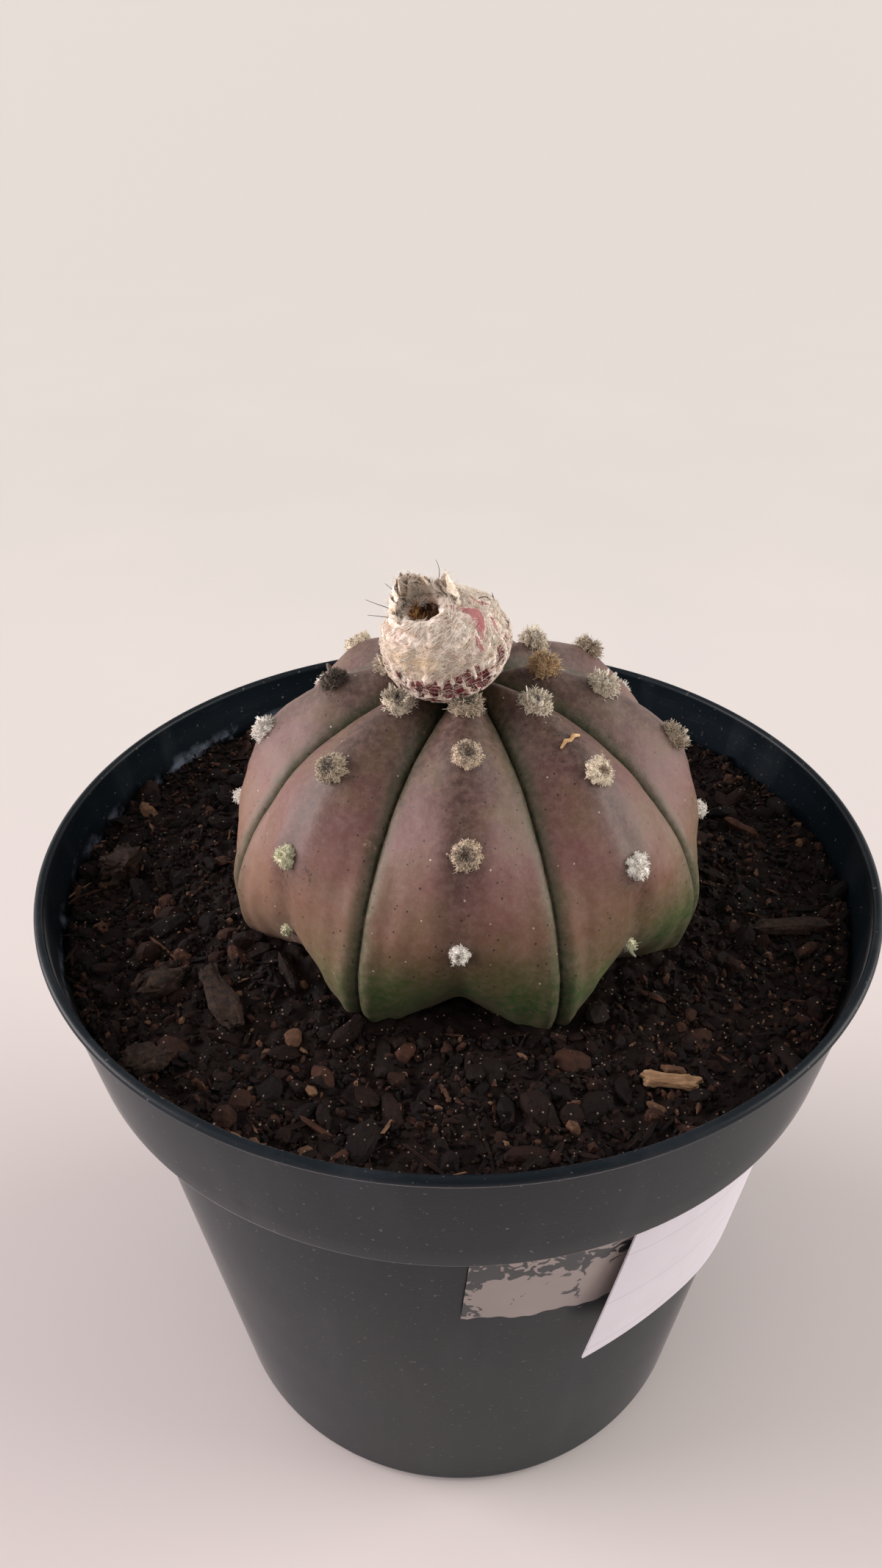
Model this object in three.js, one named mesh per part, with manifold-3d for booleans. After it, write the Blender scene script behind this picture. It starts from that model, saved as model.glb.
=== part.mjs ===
// A spineless star cactus with a ripe woolly fruit, growing in a round plastic nursery pot.
// Lengths are millimetres, +Z is up, and the origin is the centre of the underside of the pot.
import * as THREE from 'three';
import { mergeVertices } from 'three/addons/utils/BufferGeometryUtils.js';
import Module from 'manifold-3d';

const wasm = await Module();
wasm.setup();

const DEG = Math.PI / 180;

// Clearance between two solids that touch on the real object.
const GAP = 0.3;

// Pot: a tapered body, a wider collar above it and a rolled lip.
const POT_HEIGHT = 128;
const LIP_RADIUS = 75;
const LIP_THICKNESS = 1.7;
const COLLAR_HEIGHT = 26;
const COLLAR_TOP_RADIUS = 74.1;
const COLLAR_FOOT_RADIUS = 70.2;
const BODY_TOP_RADIUS = 65.4;
const BASE_RADIUS = 52;
const BASE_CORNER_RADIUS = 2.4;
const WALL = 1.2;
const FLOOR = 1.6;
const COLLAR_Z = POT_HEIGHT - COLLAR_HEIGHT;
const POT_SIDES = 60;
const DRAIN_HOLE_COUNT = 8;
const DRAIN_HOLE_RADIUS = 4.5;
const DRAIN_CIRCLE_RADIUS = 38;

// Potting mix.
const MIX_LEVEL = 118;
const MIX_LUMP = 0.8;
const MIX_MOUND = { x: -30, y: -20, height: 2.8, spread: 18 };
const MIX_SIDES = 48;
const MIX_TOP_RINGS = 7;

// Cactus: radii from its centre, every 15 degrees from the apex down, along a rib's middle and along a groove.
const CACTUS_CENTRE = new THREE.Vector3(2, 1, 126);
const PROFILE_STEP_DEG = 15;
const RIB_MIDDLE_RADII = [34.5, 38.5, 40.5, 42, 43, 42, 38.5, 32.5, 28.5, 26];
const GROOVE_RADII = [34.5, 35.5, 37, 38.5, 40, 42, 43, 41, 36, 30];
const RIB_COUNT = 8;
const FIRST_RIB_DEG = -92.5;
const CREASE_DEPTH = 0.8;
const BODY_ROWS = 19;
const BODY_LOWEST_DEG = 132;
// Columns across one rib, from its left groove to its middle and on: 0 is the middle, 1 is the next groove.
const RIB_COLUMNS = [-1, -0.82, -0.42, 0, 0.42, 0.82];
// Root neck under the body: radius and height of each ring, then the tip.
const ROOT_RINGS = [[3, 84], [5, 92], [8, 99]];
const ROOT_TIP_Z = 80;

// Areoles: woolly tufts on the rib middles. Neighbouring ribs take turns, as on a spiral, and the
// berry pushes the innermost ones aside. The lower tufts are worn small.
const AREOLE_FIRST_DEG = 12.5;
const AREOLE_STEP_DEG = 10.55;
const AREOLE_STEPS = 8;
const AREOLE_INNERMOST_DEG = 19;
const AREOLE_SWAY = 0.07;
const AREOLE_RADIUS = 2.95;
const AREOLE_RISE = 2.4;
const AREOLE_WEAR = 0.6;

// Fruit: a round berry on the apex, leaning left and forward, with the torn dried flower on top.
const FRUIT_BASE = new THREE.Vector3(1.2, -2.6, 161.9);
const FRUIT_LEAN_LEFT_DEG = 17;
const FRUIT_LEAN_FORWARD_DEG = 9;
const FRUIT_LENGTH = 18.5;
const FRUIT_RADIUS = 10.4;
const FRUIT_LOWER_TAPER = 1.1;
const FRUIT_UPPER_TAPER = 0.85;
const FRUIT_SIDES = 24;
const FRUIT_ROWS = 10;
const CROWN_RADIUS = 6.8;
const CROWN_HOLE_RADIUS = 3.4;
const CROWN_HEIGHT = 5.2;
const CROWN_SINK = 3.4;
const CROWN_SIDES = 20;

// Tape and paper label on the pot body, under the collar. Azimuth 0 is the front, growing to the right.
const TAPE = { azimuth: 2, top: 101.2, width: 36, height: 24.5, turn: 4, clearance: GAP, thickness: 0.25 };
const LABEL = { azimuth: 26, top: 100.6, width: 75, height: 39.5, turn: 10, clearance: 0.95, thickness: 0.35 };
const LABEL_CORNER_LIFT = 3;
const LABEL_LIFTED_WIDTH = 26;

// Large loose chips on the mix: place, length, width, thickness and turn about the vertical.
const CHIPS = [
  { name: 'bark_chip_left', x: -38.8, y: -33.8, length: 15, width: 4.2, thickness: 1.8, turn: -64 },
  { name: 'bark_chip_right', x: 59, y: -14.6, length: 15, width: 3, thickness: 2, turn: 2 },
  { name: 'bark_chip_front_left', x: -48.3, y: -47, length: 7, width: 5, thickness: 3, turn: 20 },
  { name: 'bark_chip_far_left', x: -63, y: 1.4, length: 8, width: 6, thickness: 4, turn: 75 },
  { name: 'bark_chip_round', x: -49, y: -30, length: 6, width: 5, thickness: 3.2, turn: 40 },
  { name: 'wood_chip', x: 32.7, y: -49.8, length: 9, width: 2.6, thickness: 1.4, turn: -8 },
];

function finish(colour, roughness) {
  return new THREE.MeshStandardMaterial({ color: colour, roughness, metalness: 0 });
}

const plasticFinish = finish(0x3a4146, 0.5);
const mixFinish = finish(0x241a17, 0.95);
const skinFinish = finish(0x6b5852, 0.62);
const areoleFinish = finish(0xb9ad9c, 0.95);
const fruitFinish = finish(0xc9b4ab, 0.9);
const crownFinish = finish(0x8c745c, 0.95);
const tapeFinish = finish(0xa8968b, 0.35);
const paperFinish = finish(0xe6e2e8, 0.8);
const barkFinish = finish(0x3d2a21, 0.9);
const woodFinish = finish(0x8a6a4f, 0.85);

const cactusPot = new THREE.Group();

function addPiece(name, geometry, material) {
  const mesh = new THREE.Mesh(geometry, material);
  mesh.name = name;
  cactusPot.add(mesh);
}

// A closed geometry as a solid that can be joined and cut.
function toSolid(geometry) {
  const bare = geometry.clone();
  bare.deleteAttribute('normal');
  bare.deleteAttribute('uv');
  const merged = mergeVertices(bare, 1e-4);
  const mesh = new wasm.Mesh({
    numProp: 3,
    vertProperties: new Float32Array(merged.attributes.position.array),
    triVerts: new Uint32Array(merged.index.array),
  });
  return new wasm.Manifold(mesh);
}

function toGeometry(solid) {
  const mesh = solid.getMesh();
  const geometry = new THREE.BufferGeometry();
  geometry.setAttribute('position', new THREE.BufferAttribute(mesh.vertProperties, mesh.numProp));
  geometry.setIndex(new THREE.BufferAttribute(mesh.triVerts, 1));
  geometry.computeVertexNormals();
  return geometry;
}

function cut(geometry, ...cutters) {
  let solid = toSolid(geometry);
  for (const cutter of cutters) {
    solid = solid.subtract(toSolid(cutter));
  }
  return toGeometry(solid);
}

// A closed skin over a stack of rings, each counter-clockwise from above, with a point below and above.
function stackRings(lowTip, rings, highTip) {
  const sides = rings[0].length;
  const points = [lowTip, ...rings.flat(), highTip];
  const index = [];
  const last = points.length - 1;
  const topRing = last - sides;
  for (let i = 0; i < sides; i += 1) {
    const next = (i + 1) % sides;
    index.push(0, 1 + next, 1 + i);
    for (let ring = 0; ring < rings.length - 1; ring += 1) {
      const low = 1 + ring * sides;
      const high = low + sides;
      index.push(low + i, low + next, high + next);
      index.push(low + i, high + next, high + i);
    }
    index.push(last, topRing + i, topRing + next);
  }
  const geometry = new THREE.BufferGeometry().setFromPoints(points);
  geometry.setIndex(index);
  return geometry;
}

// A surface of revolution about the vertical, from (radius, height) points that start and end on the axis.
function turned(profile, sides) {
  return new THREE.LatheGeometry(profile, sides).rotateX(Math.PI / 2);
}

function arcPoints(radius, centreR, centreZ, fromDeg, toDeg, steps) {
  const points = [];
  for (let i = 0; i <= steps; i += 1) {
    const angle = (fromDeg + ((toDeg - fromDeg) * i) / steps) * DEG;
    points.push(new THREE.Vector2(centreR + radius * Math.cos(angle), centreZ + radius * Math.sin(angle)));
  }
  return points;
}

function bodyRadius(z) {
  return BASE_RADIUS + ((BODY_TOP_RADIUS - BASE_RADIUS) * z) / COLLAR_Z;
}

function collarRadius(z) {
  return COLLAR_FOOT_RADIUS + ((COLLAR_TOP_RADIUS - COLLAR_FOOT_RADIUS) * (z - COLLAR_Z)) / COLLAR_HEIGHT;
}

function makePot() {
  const lip = LIP_THICKNESS / 2;
  const lipFootZ = POT_HEIGHT - LIP_THICKNESS;
  const floorRadius = bodyRadius(FLOOR + BASE_CORNER_RADIUS) - WALL - BASE_CORNER_RADIUS;
  const profile = [
    new THREE.Vector2(0, 0),
    ...arcPoints(BASE_CORNER_RADIUS, BASE_RADIUS - BASE_CORNER_RADIUS, BASE_CORNER_RADIUS, -90, 0, 3),
    new THREE.Vector2(BODY_TOP_RADIUS, COLLAR_Z),
    ...arcPoints(0.5, COLLAR_FOOT_RADIUS - 0.5, COLLAR_Z + 0.5, -90, 0, 2),
    new THREE.Vector2(collarRadius(lipFootZ), lipFootZ),
    ...arcPoints(lip, LIP_RADIUS - lip, POT_HEIGHT - lip, -30, 210, 6),
    new THREE.Vector2(collarRadius(COLLAR_Z + WALL) - WALL, COLLAR_Z + WALL),
    new THREE.Vector2(BODY_TOP_RADIUS - WALL, COLLAR_Z + WALL),
    ...arcPoints(BASE_CORNER_RADIUS, floorRadius, FLOOR + BASE_CORNER_RADIUS, 0, -90, 2),
    new THREE.Vector2(0, FLOOR),
  ];
  const drainHoles = [];
  for (let i = 0; i < DRAIN_HOLE_COUNT; i += 1) {
    const angle = ((i + 0.5) * 2 * Math.PI) / DRAIN_HOLE_COUNT;
    const hole = new THREE.CylinderGeometry(DRAIN_HOLE_RADIUS, DRAIN_HOLE_RADIUS, 4 * FLOOR, 12);
    hole.rotateX(Math.PI / 2);
    hole.translate(DRAIN_CIRCLE_RADIUS * Math.cos(angle), DRAIN_CIRCLE_RADIUS * Math.sin(angle), 0);
    drainHoles.push(hole);
  }
  return cut(turned(profile, POT_SIDES), ...drainHoles);
}

const ribMiddleCurve = profileCurve(RIB_MIDDLE_RADII);
const grooveCurve = profileCurve(GROOVE_RADII);

function profileCurve(radii) {
  return new THREE.SplineCurve(radii.map((radius, i) => new THREE.Vector2(i, radius)));
}

// Distance from the cactus centre: polar runs down from the apex, across runs from -1 to 1 over one rib.
function skinRadius(polar, across) {
  const along = Math.min(polar / DEG / PROFILE_STEP_DEG / (RIB_MIDDLE_RADII.length - 1), 1);
  const middle = ribMiddleCurve.getPoint(along).y;
  const groove = grooveCurve.getPoint(along).y;
  const blend = (1 + Math.cos(Math.PI * across)) / 2;
  const crease = Math.abs(across) === 1 ? CREASE_DEPTH * Math.min(1, 2 * Math.sin(polar)) : 0;
  return middle * blend + groove * (1 - blend) - crease;
}

function skinPoint(polar, rib, across, offset = 0) {
  const radius = skinRadius(polar, across) + offset;
  const azimuth = (FIRST_RIB_DEG + ((rib + across / 2) * 360) / RIB_COUNT) * DEG;
  const direction = new THREE.Vector3(
    Math.sin(polar) * Math.cos(azimuth),
    Math.sin(polar) * Math.sin(azimuth),
    Math.cos(polar),
  );
  return direction.multiplyScalar(radius).add(CACTUS_CENTRE);
}

// The cactus with its root neck, or the same shape swollen by an offset for the sockets around it.
function makeCactus(offset = 0) {
  const rings = [];
  for (const [radius, height] of ROOT_RINGS) {
    const ring = [];
    for (let i = 0; i < RIB_COUNT * RIB_COLUMNS.length; i += 1) {
      const azimuth = (i * 2 * Math.PI) / (RIB_COUNT * RIB_COLUMNS.length) + (FIRST_RIB_DEG - 22.5) * DEG;
      ring.push(new THREE.Vector3(
        CACTUS_CENTRE.x + (radius + offset) * Math.cos(azimuth),
        CACTUS_CENTRE.y + (radius + offset) * Math.sin(azimuth),
        height - offset,
      ));
    }
    rings.push(ring);
  }
  for (let row = BODY_ROWS; row > 0; row -= 1) {
    const polar = ((BODY_LOWEST_DEG * row) / BODY_ROWS) * DEG;
    const ring = [];
    for (let rib = 0; rib < RIB_COUNT; rib += 1) {
      for (const across of RIB_COLUMNS) {
        ring.push(skinPoint(polar, rib, across, offset));
      }
    }
    rings.push(ring);
  }
  const tip = new THREE.Vector3(CACTUS_CENTRE.x, CACTUS_CENTRE.y, ROOT_TIP_Z - offset);
  return stackRings(tip, rings, skinPoint(0, 0, 0, offset));
}

// Height of the uneven surface of the mix.
function mixHeight(x, y) {
  const broad = Math.sin(0.11 * x + 1.3) * Math.cos(0.09 * y - 0.4);
  const fine = Math.sin(0.37 * x - 0.21 * y) * Math.sin(0.31 * y + 0.16 * x + 2);
  const away = ((x - MIX_MOUND.x) ** 2 + (y - MIX_MOUND.y) ** 2) / (2 * MIX_MOUND.spread ** 2);
  return MIX_LEVEL + MIX_MOUND.height * Math.exp(-away) + MIX_LUMP * (0.6 * broad + 0.4 * fine);
}

function makeMix(socket) {
  function ring(radius, heightAt) {
    const points = [];
    for (let i = 0; i < MIX_SIDES; i += 1) {
      const angle = (i * 2 * Math.PI) / MIX_SIDES;
      const x = radius * Math.cos(angle);
      const y = radius * Math.sin(angle);
      points.push(new THREE.Vector3(x, y, heightAt(x, y)));
    }
    return points;
  }
  const inset = WALL + GAP;
  const bottom = FLOOR + GAP;
  const shelf = COLLAR_Z + WALL + GAP;
  const rimRadius = collarRadius(MIX_LEVEL - MIX_LUMP) - inset;
  const rings = [
    ring(bodyRadius(bottom) - inset - BASE_CORNER_RADIUS, () => bottom),
    ring(bodyRadius(bottom + BASE_CORNER_RADIUS) - inset, () => bottom + BASE_CORNER_RADIUS),
    ring(BODY_TOP_RADIUS - inset, () => shelf),
    ring(collarRadius(shelf) - inset, () => shelf + GAP),
  ];
  for (let i = 0; i < MIX_TOP_RINGS; i += 1) {
    rings.push(ring(rimRadius * (1 - i / MIX_TOP_RINGS), mixHeight));
  }
  const top = new THREE.Vector3(0, 0, mixHeight(0, 0));
  return cut(stackRings(new THREE.Vector3(0, 0, bottom), rings, top), socket);
}

// One tuft, dug into by the skin and by the berry where it meets them.
function makeAreole(rib, step, cutters) {
  const polar = Math.max(AREOLE_INNERMOST_DEG, AREOLE_FIRST_DEG + step * AREOLE_STEP_DEG) * DEG;
  const across = AREOLE_SWAY * Math.cos(0.5 * (step - 3) + rib);
  const size = 1 - AREOLE_WEAR * (step / (AREOLE_STEPS - 1)) ** 3;
  const tuft = new THREE.SphereGeometry(1, 10, 6);
  tuft.rotateX(Math.PI / 2);
  tuft.scale(AREOLE_RADIUS * size, AREOLE_RADIUS * size, AREOLE_RISE * Math.sqrt(size));
  const here = skinPoint(polar, rib, across);
  const below = skinPoint(polar + DEG, rib, across);
  const aside = skinPoint(polar, rib, across + 0.05);
  const outward = below.sub(here).cross(aside.sub(here)).normalize();
  tuft.applyQuaternion(new THREE.Quaternion().setFromUnitVectors(new THREE.Vector3(0, 0, 1), outward));
  tuft.translate(here.x, here.y, here.z);
  return cut(tuft, ...cutters);
}

function placeOnApex(geometry) {
  geometry.rotateX(FRUIT_LEAN_FORWARD_DEG * DEG);
  geometry.rotateY(-FRUIT_LEAN_LEFT_DEG * DEG);
  return geometry.translate(FRUIT_BASE.x, FRUIT_BASE.y, FRUIT_BASE.z);
}

// The berry, upright with its base at the origin, or swollen by an offset to cut the crown's seat.
function makeBerry(offset = 0) {
  const profile = [];
  for (let i = 0; i <= FRUIT_ROWS; i += 1) {
    const angle = (Math.PI * i) / FRUIT_ROWS;
    const fullness = angle < Math.PI / 2 ? FRUIT_LOWER_TAPER : FRUIT_UPPER_TAPER;
    const radius = (FRUIT_RADIUS + offset) * Math.sin(angle) ** fullness;
    const height = FRUIT_LENGTH / 2 - (FRUIT_LENGTH / 2 + offset) * Math.cos(angle);
    profile.push(new THREE.Vector2(Math.abs(radius) < 1e-6 ? 0 : radius, height));
  }
  return turned(profile, FRUIT_SIDES);
}

// A torn ring of dried flower parts around the hole where the flower sat.
function makeCrown() {
  const outline = [
    new THREE.Vector2(CROWN_HOLE_RADIUS, 0),
    new THREE.Vector2(CROWN_RADIUS, 0),
    new THREE.Vector2(CROWN_RADIUS + 0.6, CROWN_HEIGHT * 0.6),
    new THREE.Vector2(CROWN_RADIUS - 0.8, CROWN_HEIGHT),
    new THREE.Vector2(CROWN_HOLE_RADIUS + 0.8, CROWN_HEIGHT * 0.9),
    new THREE.Vector2(CROWN_HOLE_RADIUS, 0),
  ];
  const ring = turned(outline, CROWN_SIDES);
  const place = ring.attributes.position;
  for (let i = 0; i < place.count; i += 1) {
    const angle = Math.atan2(place.getY(i), place.getX(i));
    const tear = 1 + 0.16 * Math.sin(3 * angle + 0.6) + 0.1 * Math.sin(7 * angle);
    place.setZ(i, place.getZ(i) * tear);
  }
  ring.translate(0, 0, FRUIT_LENGTH - CROWN_SINK);
  return cut(ring, makeBerry(GAP));
}

// A thin sheet wrapped around the pot body. corner(along, down) is how far each point stands off.
function makeSheet(sheet, corner) {
  const { azimuth, top, width, height, turn, clearance, thickness } = sheet;
  const flat = new THREE.BoxGeometry(width, height, thickness, Math.ceil(width / 5), 6, 1);
  const place = flat.attributes.position;
  const point = new THREE.Vector3();
  for (let i = 0; i < place.count; i += 1) {
    point.fromBufferAttribute(place, i);
    const along = point.x + width / 2;
    const down = height / 2 - point.y;
    const z = top - down * Math.cos(turn * DEG) - along * Math.sin(turn * DEG);
    const arc = along * Math.cos(turn * DEG) - down * Math.sin(turn * DEG);
    const angle = (azimuth - 90) * DEG + arc / bodyRadius(z);
    const radius = bodyRadius(z) + clearance + thickness / 2 + point.z + corner(along, down);
    place.setXYZ(i, radius * Math.cos(angle), radius * Math.sin(angle), z);
  }
  return toGeometry(toSolid(flat));
}

function labelLift(along, down) {
  const side = Math.max(0, 1 - along / LABEL_LIFTED_WIDTH);
  return LABEL_CORNER_LIFT * side ** 2 * (down / LABEL.height);
}

// A splinter with tapered, slightly turned-up ends, lying on the mix.
function makeChip({ x, y, length, width, thickness, turn }) {
  const chip = new THREE.BoxGeometry(length, width, thickness, 4, 2, 1);
  const place = chip.attributes.position;
  for (let i = 0; i < place.count; i += 1) {
    const along = (2 * place.getX(i)) / length;
    const slim = 1 - 0.45 * along ** 2;
    place.setY(i, place.getY(i) * slim);
    place.setZ(i, place.getZ(i) * slim + 0.08 * thickness * along);
  }
  let ground = 0;
  const heading = turn * DEG;
  for (const along of [-0.5, -0.25, 0, 0.25, 0.5]) {
    for (const aside of [-0.5, 0, 0.5]) {
      const dx = along * length;
      const dy = aside * width;
      const spotX = x + dx * Math.cos(heading) - dy * Math.sin(heading);
      const spotY = y + dx * Math.sin(heading) + dy * Math.cos(heading);
      ground = Math.max(ground, mixHeight(spotX, spotY));
    }
  }
  chip.rotateZ(heading);
  chip.translate(x, y, ground + GAP + 0.6 * thickness);
  return toGeometry(toSolid(chip));
}

const socket = makeCactus(GAP);
const berryRoom = placeOnApex(makeBerry(GAP));
addPiece('pot', makePot(), plasticFinish);
addPiece('potting_mix', makeMix(socket), mixFinish);
addPiece('cactus_body', toGeometry(toSolid(makeCactus())), skinFinish);
for (let rib = 0; rib < RIB_COUNT; rib += 1) {
  for (let step = rib % 2; step < AREOLE_STEPS; step += 2) {
    addPiece(`areole_rib_${rib + 1}_step_${step}`, makeAreole(rib, step, [socket, berryRoom]), areoleFinish);
  }
}
addPiece('fruit', cut(placeOnApex(makeBerry()), socket), fruitFinish);
addPiece('dried_flower_crown', placeOnApex(makeCrown()), crownFinish);
addPiece('tape', makeSheet(TAPE, () => 0), tapeFinish);
addPiece('paper_label', makeSheet(LABEL, labelLift), paperFinish);
for (const chip of CHIPS) {
  addPiece(chip.name, makeChip(chip), chip.name === 'wood_chip' ? woodFinish : barkFinish);
}

export default cactusPot;
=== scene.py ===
import math
from functools import partial

import bpy
import numpy as np
from mathutils import Matrix, Vector, noise
from mathutils.bvhtree import BVHTree


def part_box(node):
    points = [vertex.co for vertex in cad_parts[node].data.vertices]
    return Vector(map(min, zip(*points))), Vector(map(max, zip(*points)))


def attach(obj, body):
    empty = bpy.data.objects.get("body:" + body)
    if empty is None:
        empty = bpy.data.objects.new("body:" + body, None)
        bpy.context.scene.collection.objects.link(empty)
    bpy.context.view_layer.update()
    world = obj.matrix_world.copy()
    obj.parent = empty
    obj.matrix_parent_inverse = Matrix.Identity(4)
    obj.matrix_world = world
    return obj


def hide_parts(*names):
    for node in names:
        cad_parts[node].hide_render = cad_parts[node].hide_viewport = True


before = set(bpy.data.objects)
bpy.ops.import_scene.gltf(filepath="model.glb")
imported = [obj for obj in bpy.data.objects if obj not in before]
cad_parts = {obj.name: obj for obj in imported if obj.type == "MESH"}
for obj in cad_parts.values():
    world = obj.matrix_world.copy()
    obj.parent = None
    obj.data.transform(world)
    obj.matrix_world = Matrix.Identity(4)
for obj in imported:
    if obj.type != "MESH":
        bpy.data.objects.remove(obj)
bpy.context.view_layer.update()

# A spineless star cactus with a ripe woolly fruit, in a round plastic nursery pot.
# Lengths are metres; MM turns millimetres into them.
MM = 0.001
TURN = 2 * math.pi
GOLDEN_ANGLE = TURN * 0.381966
WELD_DISTANCE = 0.002 * MM

# Vector noise is seeded, so that it is the same on every run.
noise.seed_set(1)

# Pot: a tapered body, a wider collar above it and a rolled lip.
POT_SIDES = 240
LIP_THICKNESS = 1.7 * MM
COLLAR_HEIGHT = 26 * MM
COLLAR_TOP_RADIUS = 74.1 * MM
COLLAR_FOOT_RADIUS = 70.2 * MM
BODY_TOP_RADIUS = 65.4 * MM
BASE_RADIUS = 52 * MM
BASE_CORNER_RADIUS = 2.4 * MM
COLLAR_FOOT_ROUNDING = 0.5 * MM
SHELF_BEVEL = 0.1 * MM
CENTRE_RING_RADIUS = 6 * MM
UNDERSIDE_RING_RADIUS = 30 * MM
WALL = 1.2 * MM
FLOOR = 1.6 * MM
DRAIN_HOLE_COUNT = 8
DRAIN_HOLE_RADIUS = 4.5 * MM
DRAIN_CIRCLE_RADIUS = 38 * MM
DRAIN_HOLE_SIDES = 40
POT_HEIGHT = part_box("pot")[1].z
LIP_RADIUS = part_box("pot")[1].x
COLLAR_Z = POT_HEIGHT - COLLAR_HEIGHT

# Cactus: distances in millimetres from its centre at each polar angle, down the middle of a rib and
# down a groove. The last angles close the buried base into the root neck.
CACTUS_CENTRE = Vector((2, 1, 126)) * MM
RIB_COUNT = 8
FIRST_RIB = math.radians(-92.5)
PROFILE_DEG = [0, 15, 30, 45, 60, 75, 90, 105, 120, 135, 152, 168, 174, 180]
RIB_MIDDLE_MM = [34.5, 38.5, 40.5, 42, 43, 42, 38.5, 32.5, 28.5, 26, 24, 25, 32, 46]
GROOVE_MM = [34.5, 35.5, 37, 38.5, 40, 42, 43, 41, 36, 30, 25, 25, 32, 46]
CURVE_TOP_MM = 50
COLUMNS_PER_RIB = 56
SKIN_ROWS = 156
AREOLES = sorted(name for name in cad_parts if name.startswith("areole_"))

# Relief of the skin: swellings round the areoles, fine pleats beside the grooves, and a shallow furrow
# down the middle of a rib.
AREOLE_SWELLING_WIDTH_MM = 4.4
PLEAT_PITCH_MM = 4.6
PLEAT_DEPTH = 0.27 * MM
FURROW_WIDTH_MM = 2.2
# Old wounds on the left rib: centre, reach and colour, for the pale one and the dark one beside it.
WOUNDS_MM = (((-13.6, -28.4, 148.7), 2.6, "a98f80"), ((-23.2, -28.9, 143.2), 4.0, "2c1a15"))

# Fruit: a round berry on the apex, leaning left and forward.
FRUIT_BASE = Vector((1.2, -2.6, 161.9)) * MM
FRUIT_LENGTH = 18.5 * MM
FRUIT_RADIUS = 10.2 * MM
FRUIT_FRAME = (Matrix.Translation(FRUIT_BASE) @ Matrix.Rotation(math.radians(-17), 4, "Y")
               @ Matrix.Rotation(math.radians(9), 4, "X"))
FRUIT_MIDDLE = Vector((0, 0, FRUIT_LENGTH / 2))

# Sheets on the pot body: azimuth 0 is the front, growing to the right, and lengths are millimetres.
TAPE = dict(azimuth=2, top=101.2, width=36, height=24.5, turn=4, clearance=0.3, thickness=0.25)
LABEL = dict(azimuth=26, top=100.6, width=75, height=39.5, turn=10, clearance=0.95, thickness=0.35)
LABEL_CORNER_LIFT_MM = 3
LABEL_LIFTED_WIDTH_MM = 26
TAPE_COLUMNS, TAPE_ROWS = 76, 40
LABEL_COLUMNS, LABEL_ROWS = 64, 34

# Loose chips on the mix: length, width and thickness in millimetres, and heading in degrees.
CHIPS = {
    "bark_chip_left": (15, 4.2, 1.8, -64),
    "bark_chip_right": (15, 3, 2, 2),
    "bark_chip_front_left": (7, 5, 3, 20),
    "bark_chip_far_left": (8, 6, 4, 75),
    "bark_chip_round": (6, 5, 3.2, 40),
    "wood_chip": (9, 2.6, 1.4, -8),
}


# ---------------------------------------------------------------- helpers


def linear(hex_colour):
    """An sRGB colour such as "8a6b63" as linear RGBA."""
    parts = [int(hex_colour[i:i + 2], 16) / 255 for i in (0, 2, 4)]
    return tuple(p / 12.92 if p <= 0.04045 else ((p + 0.055) / 1.055) ** 2.4 for p in parts) + (1.0,)


def wire(made, inputs):
    """Sets or links a node's inputs, given in order or by name: each is a value, a hex colour, a socket,
    a node for its first output, or a list of sockets and nodes."""
    for key, value in inputs.items() if isinstance(inputs, dict) else enumerate(inputs):
        if isinstance(key, int):
            socket = made.inputs[key]
        else:
            socket = next(put for put in made.inputs if put.name == key and put.enabled)
        for source in value if isinstance(value, list) else [value]:
            if isinstance(source, bpy.types.Node):
                source = next(put for put in source.outputs if put.enabled)
            if isinstance(source, bpy.types.NodeSocket):
                made.id_data.links.new(source, socket)
            elif isinstance(source, str) and socket.type == "RGBA":
                socket.default_value = linear(source)
            elif source is not None:
                socket.default_value = source


def node(tree, kind, inputs=(), stops=(), points=(), **settings):
    """Adds a node with its settings, its ramp's colour stops or its curve's points, and its inputs."""
    made = tree.nodes.new(kind)
    for name, value in settings.items():
        setattr(made, name, value)
    for i, (place, colour) in enumerate(stops):
        ramp = made.color_ramp.elements
        if i == 0:
            ramp.remove(ramp[1])
        element = ramp.new(place) if i else ramp[0]
        element.position = place
        element.color = linear(colour)
    for i, place in enumerate(points):
        curve = made.mapping.curves[0].points
        if i < 2:
            curve[i].location = place
        else:
            curve.new(*place)
    if points:
        made.mapping.update()
    wire(made, inputs)
    return made


SOCKETS = {bool: "NodeSocketBool", int: "NodeSocketInt", float: "NodeSocketFloat",
           Vector: "NodeSocketVector", bpy.types.Material: "NodeSocketMaterial"}


def geometry_tree(name, **sizes):
    """A new Geometry Nodes tree with an input for each named size: (the tree, a function that adds nodes
    to it, its inputs by name, its output)."""
    tree = bpy.data.node_groups.new(name, "GeometryNodeTree")
    tree.interface.new_socket("Geometry", in_out="INPUT", socket_type="NodeSocketGeometry")
    tree.interface.new_socket("Geometry", in_out="OUTPUT", socket_type="NodeSocketGeometry")
    for label, value in sizes.items():
        socket = tree.interface.new_socket(label, in_out="INPUT", socket_type=SOCKETS[type(value)])
        socket.default_value = value
    given = tree.nodes.new("NodeGroupInput").outputs
    return tree, partial(node, tree), given, tree.nodes.new("NodeGroupOutput")


def add_object(name, data):
    """Puts a mesh, a light or a camera into the scene."""
    piece = bpy.data.objects.new(name, data)
    bpy.context.scene.collection.objects.link(piece)
    return piece


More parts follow.
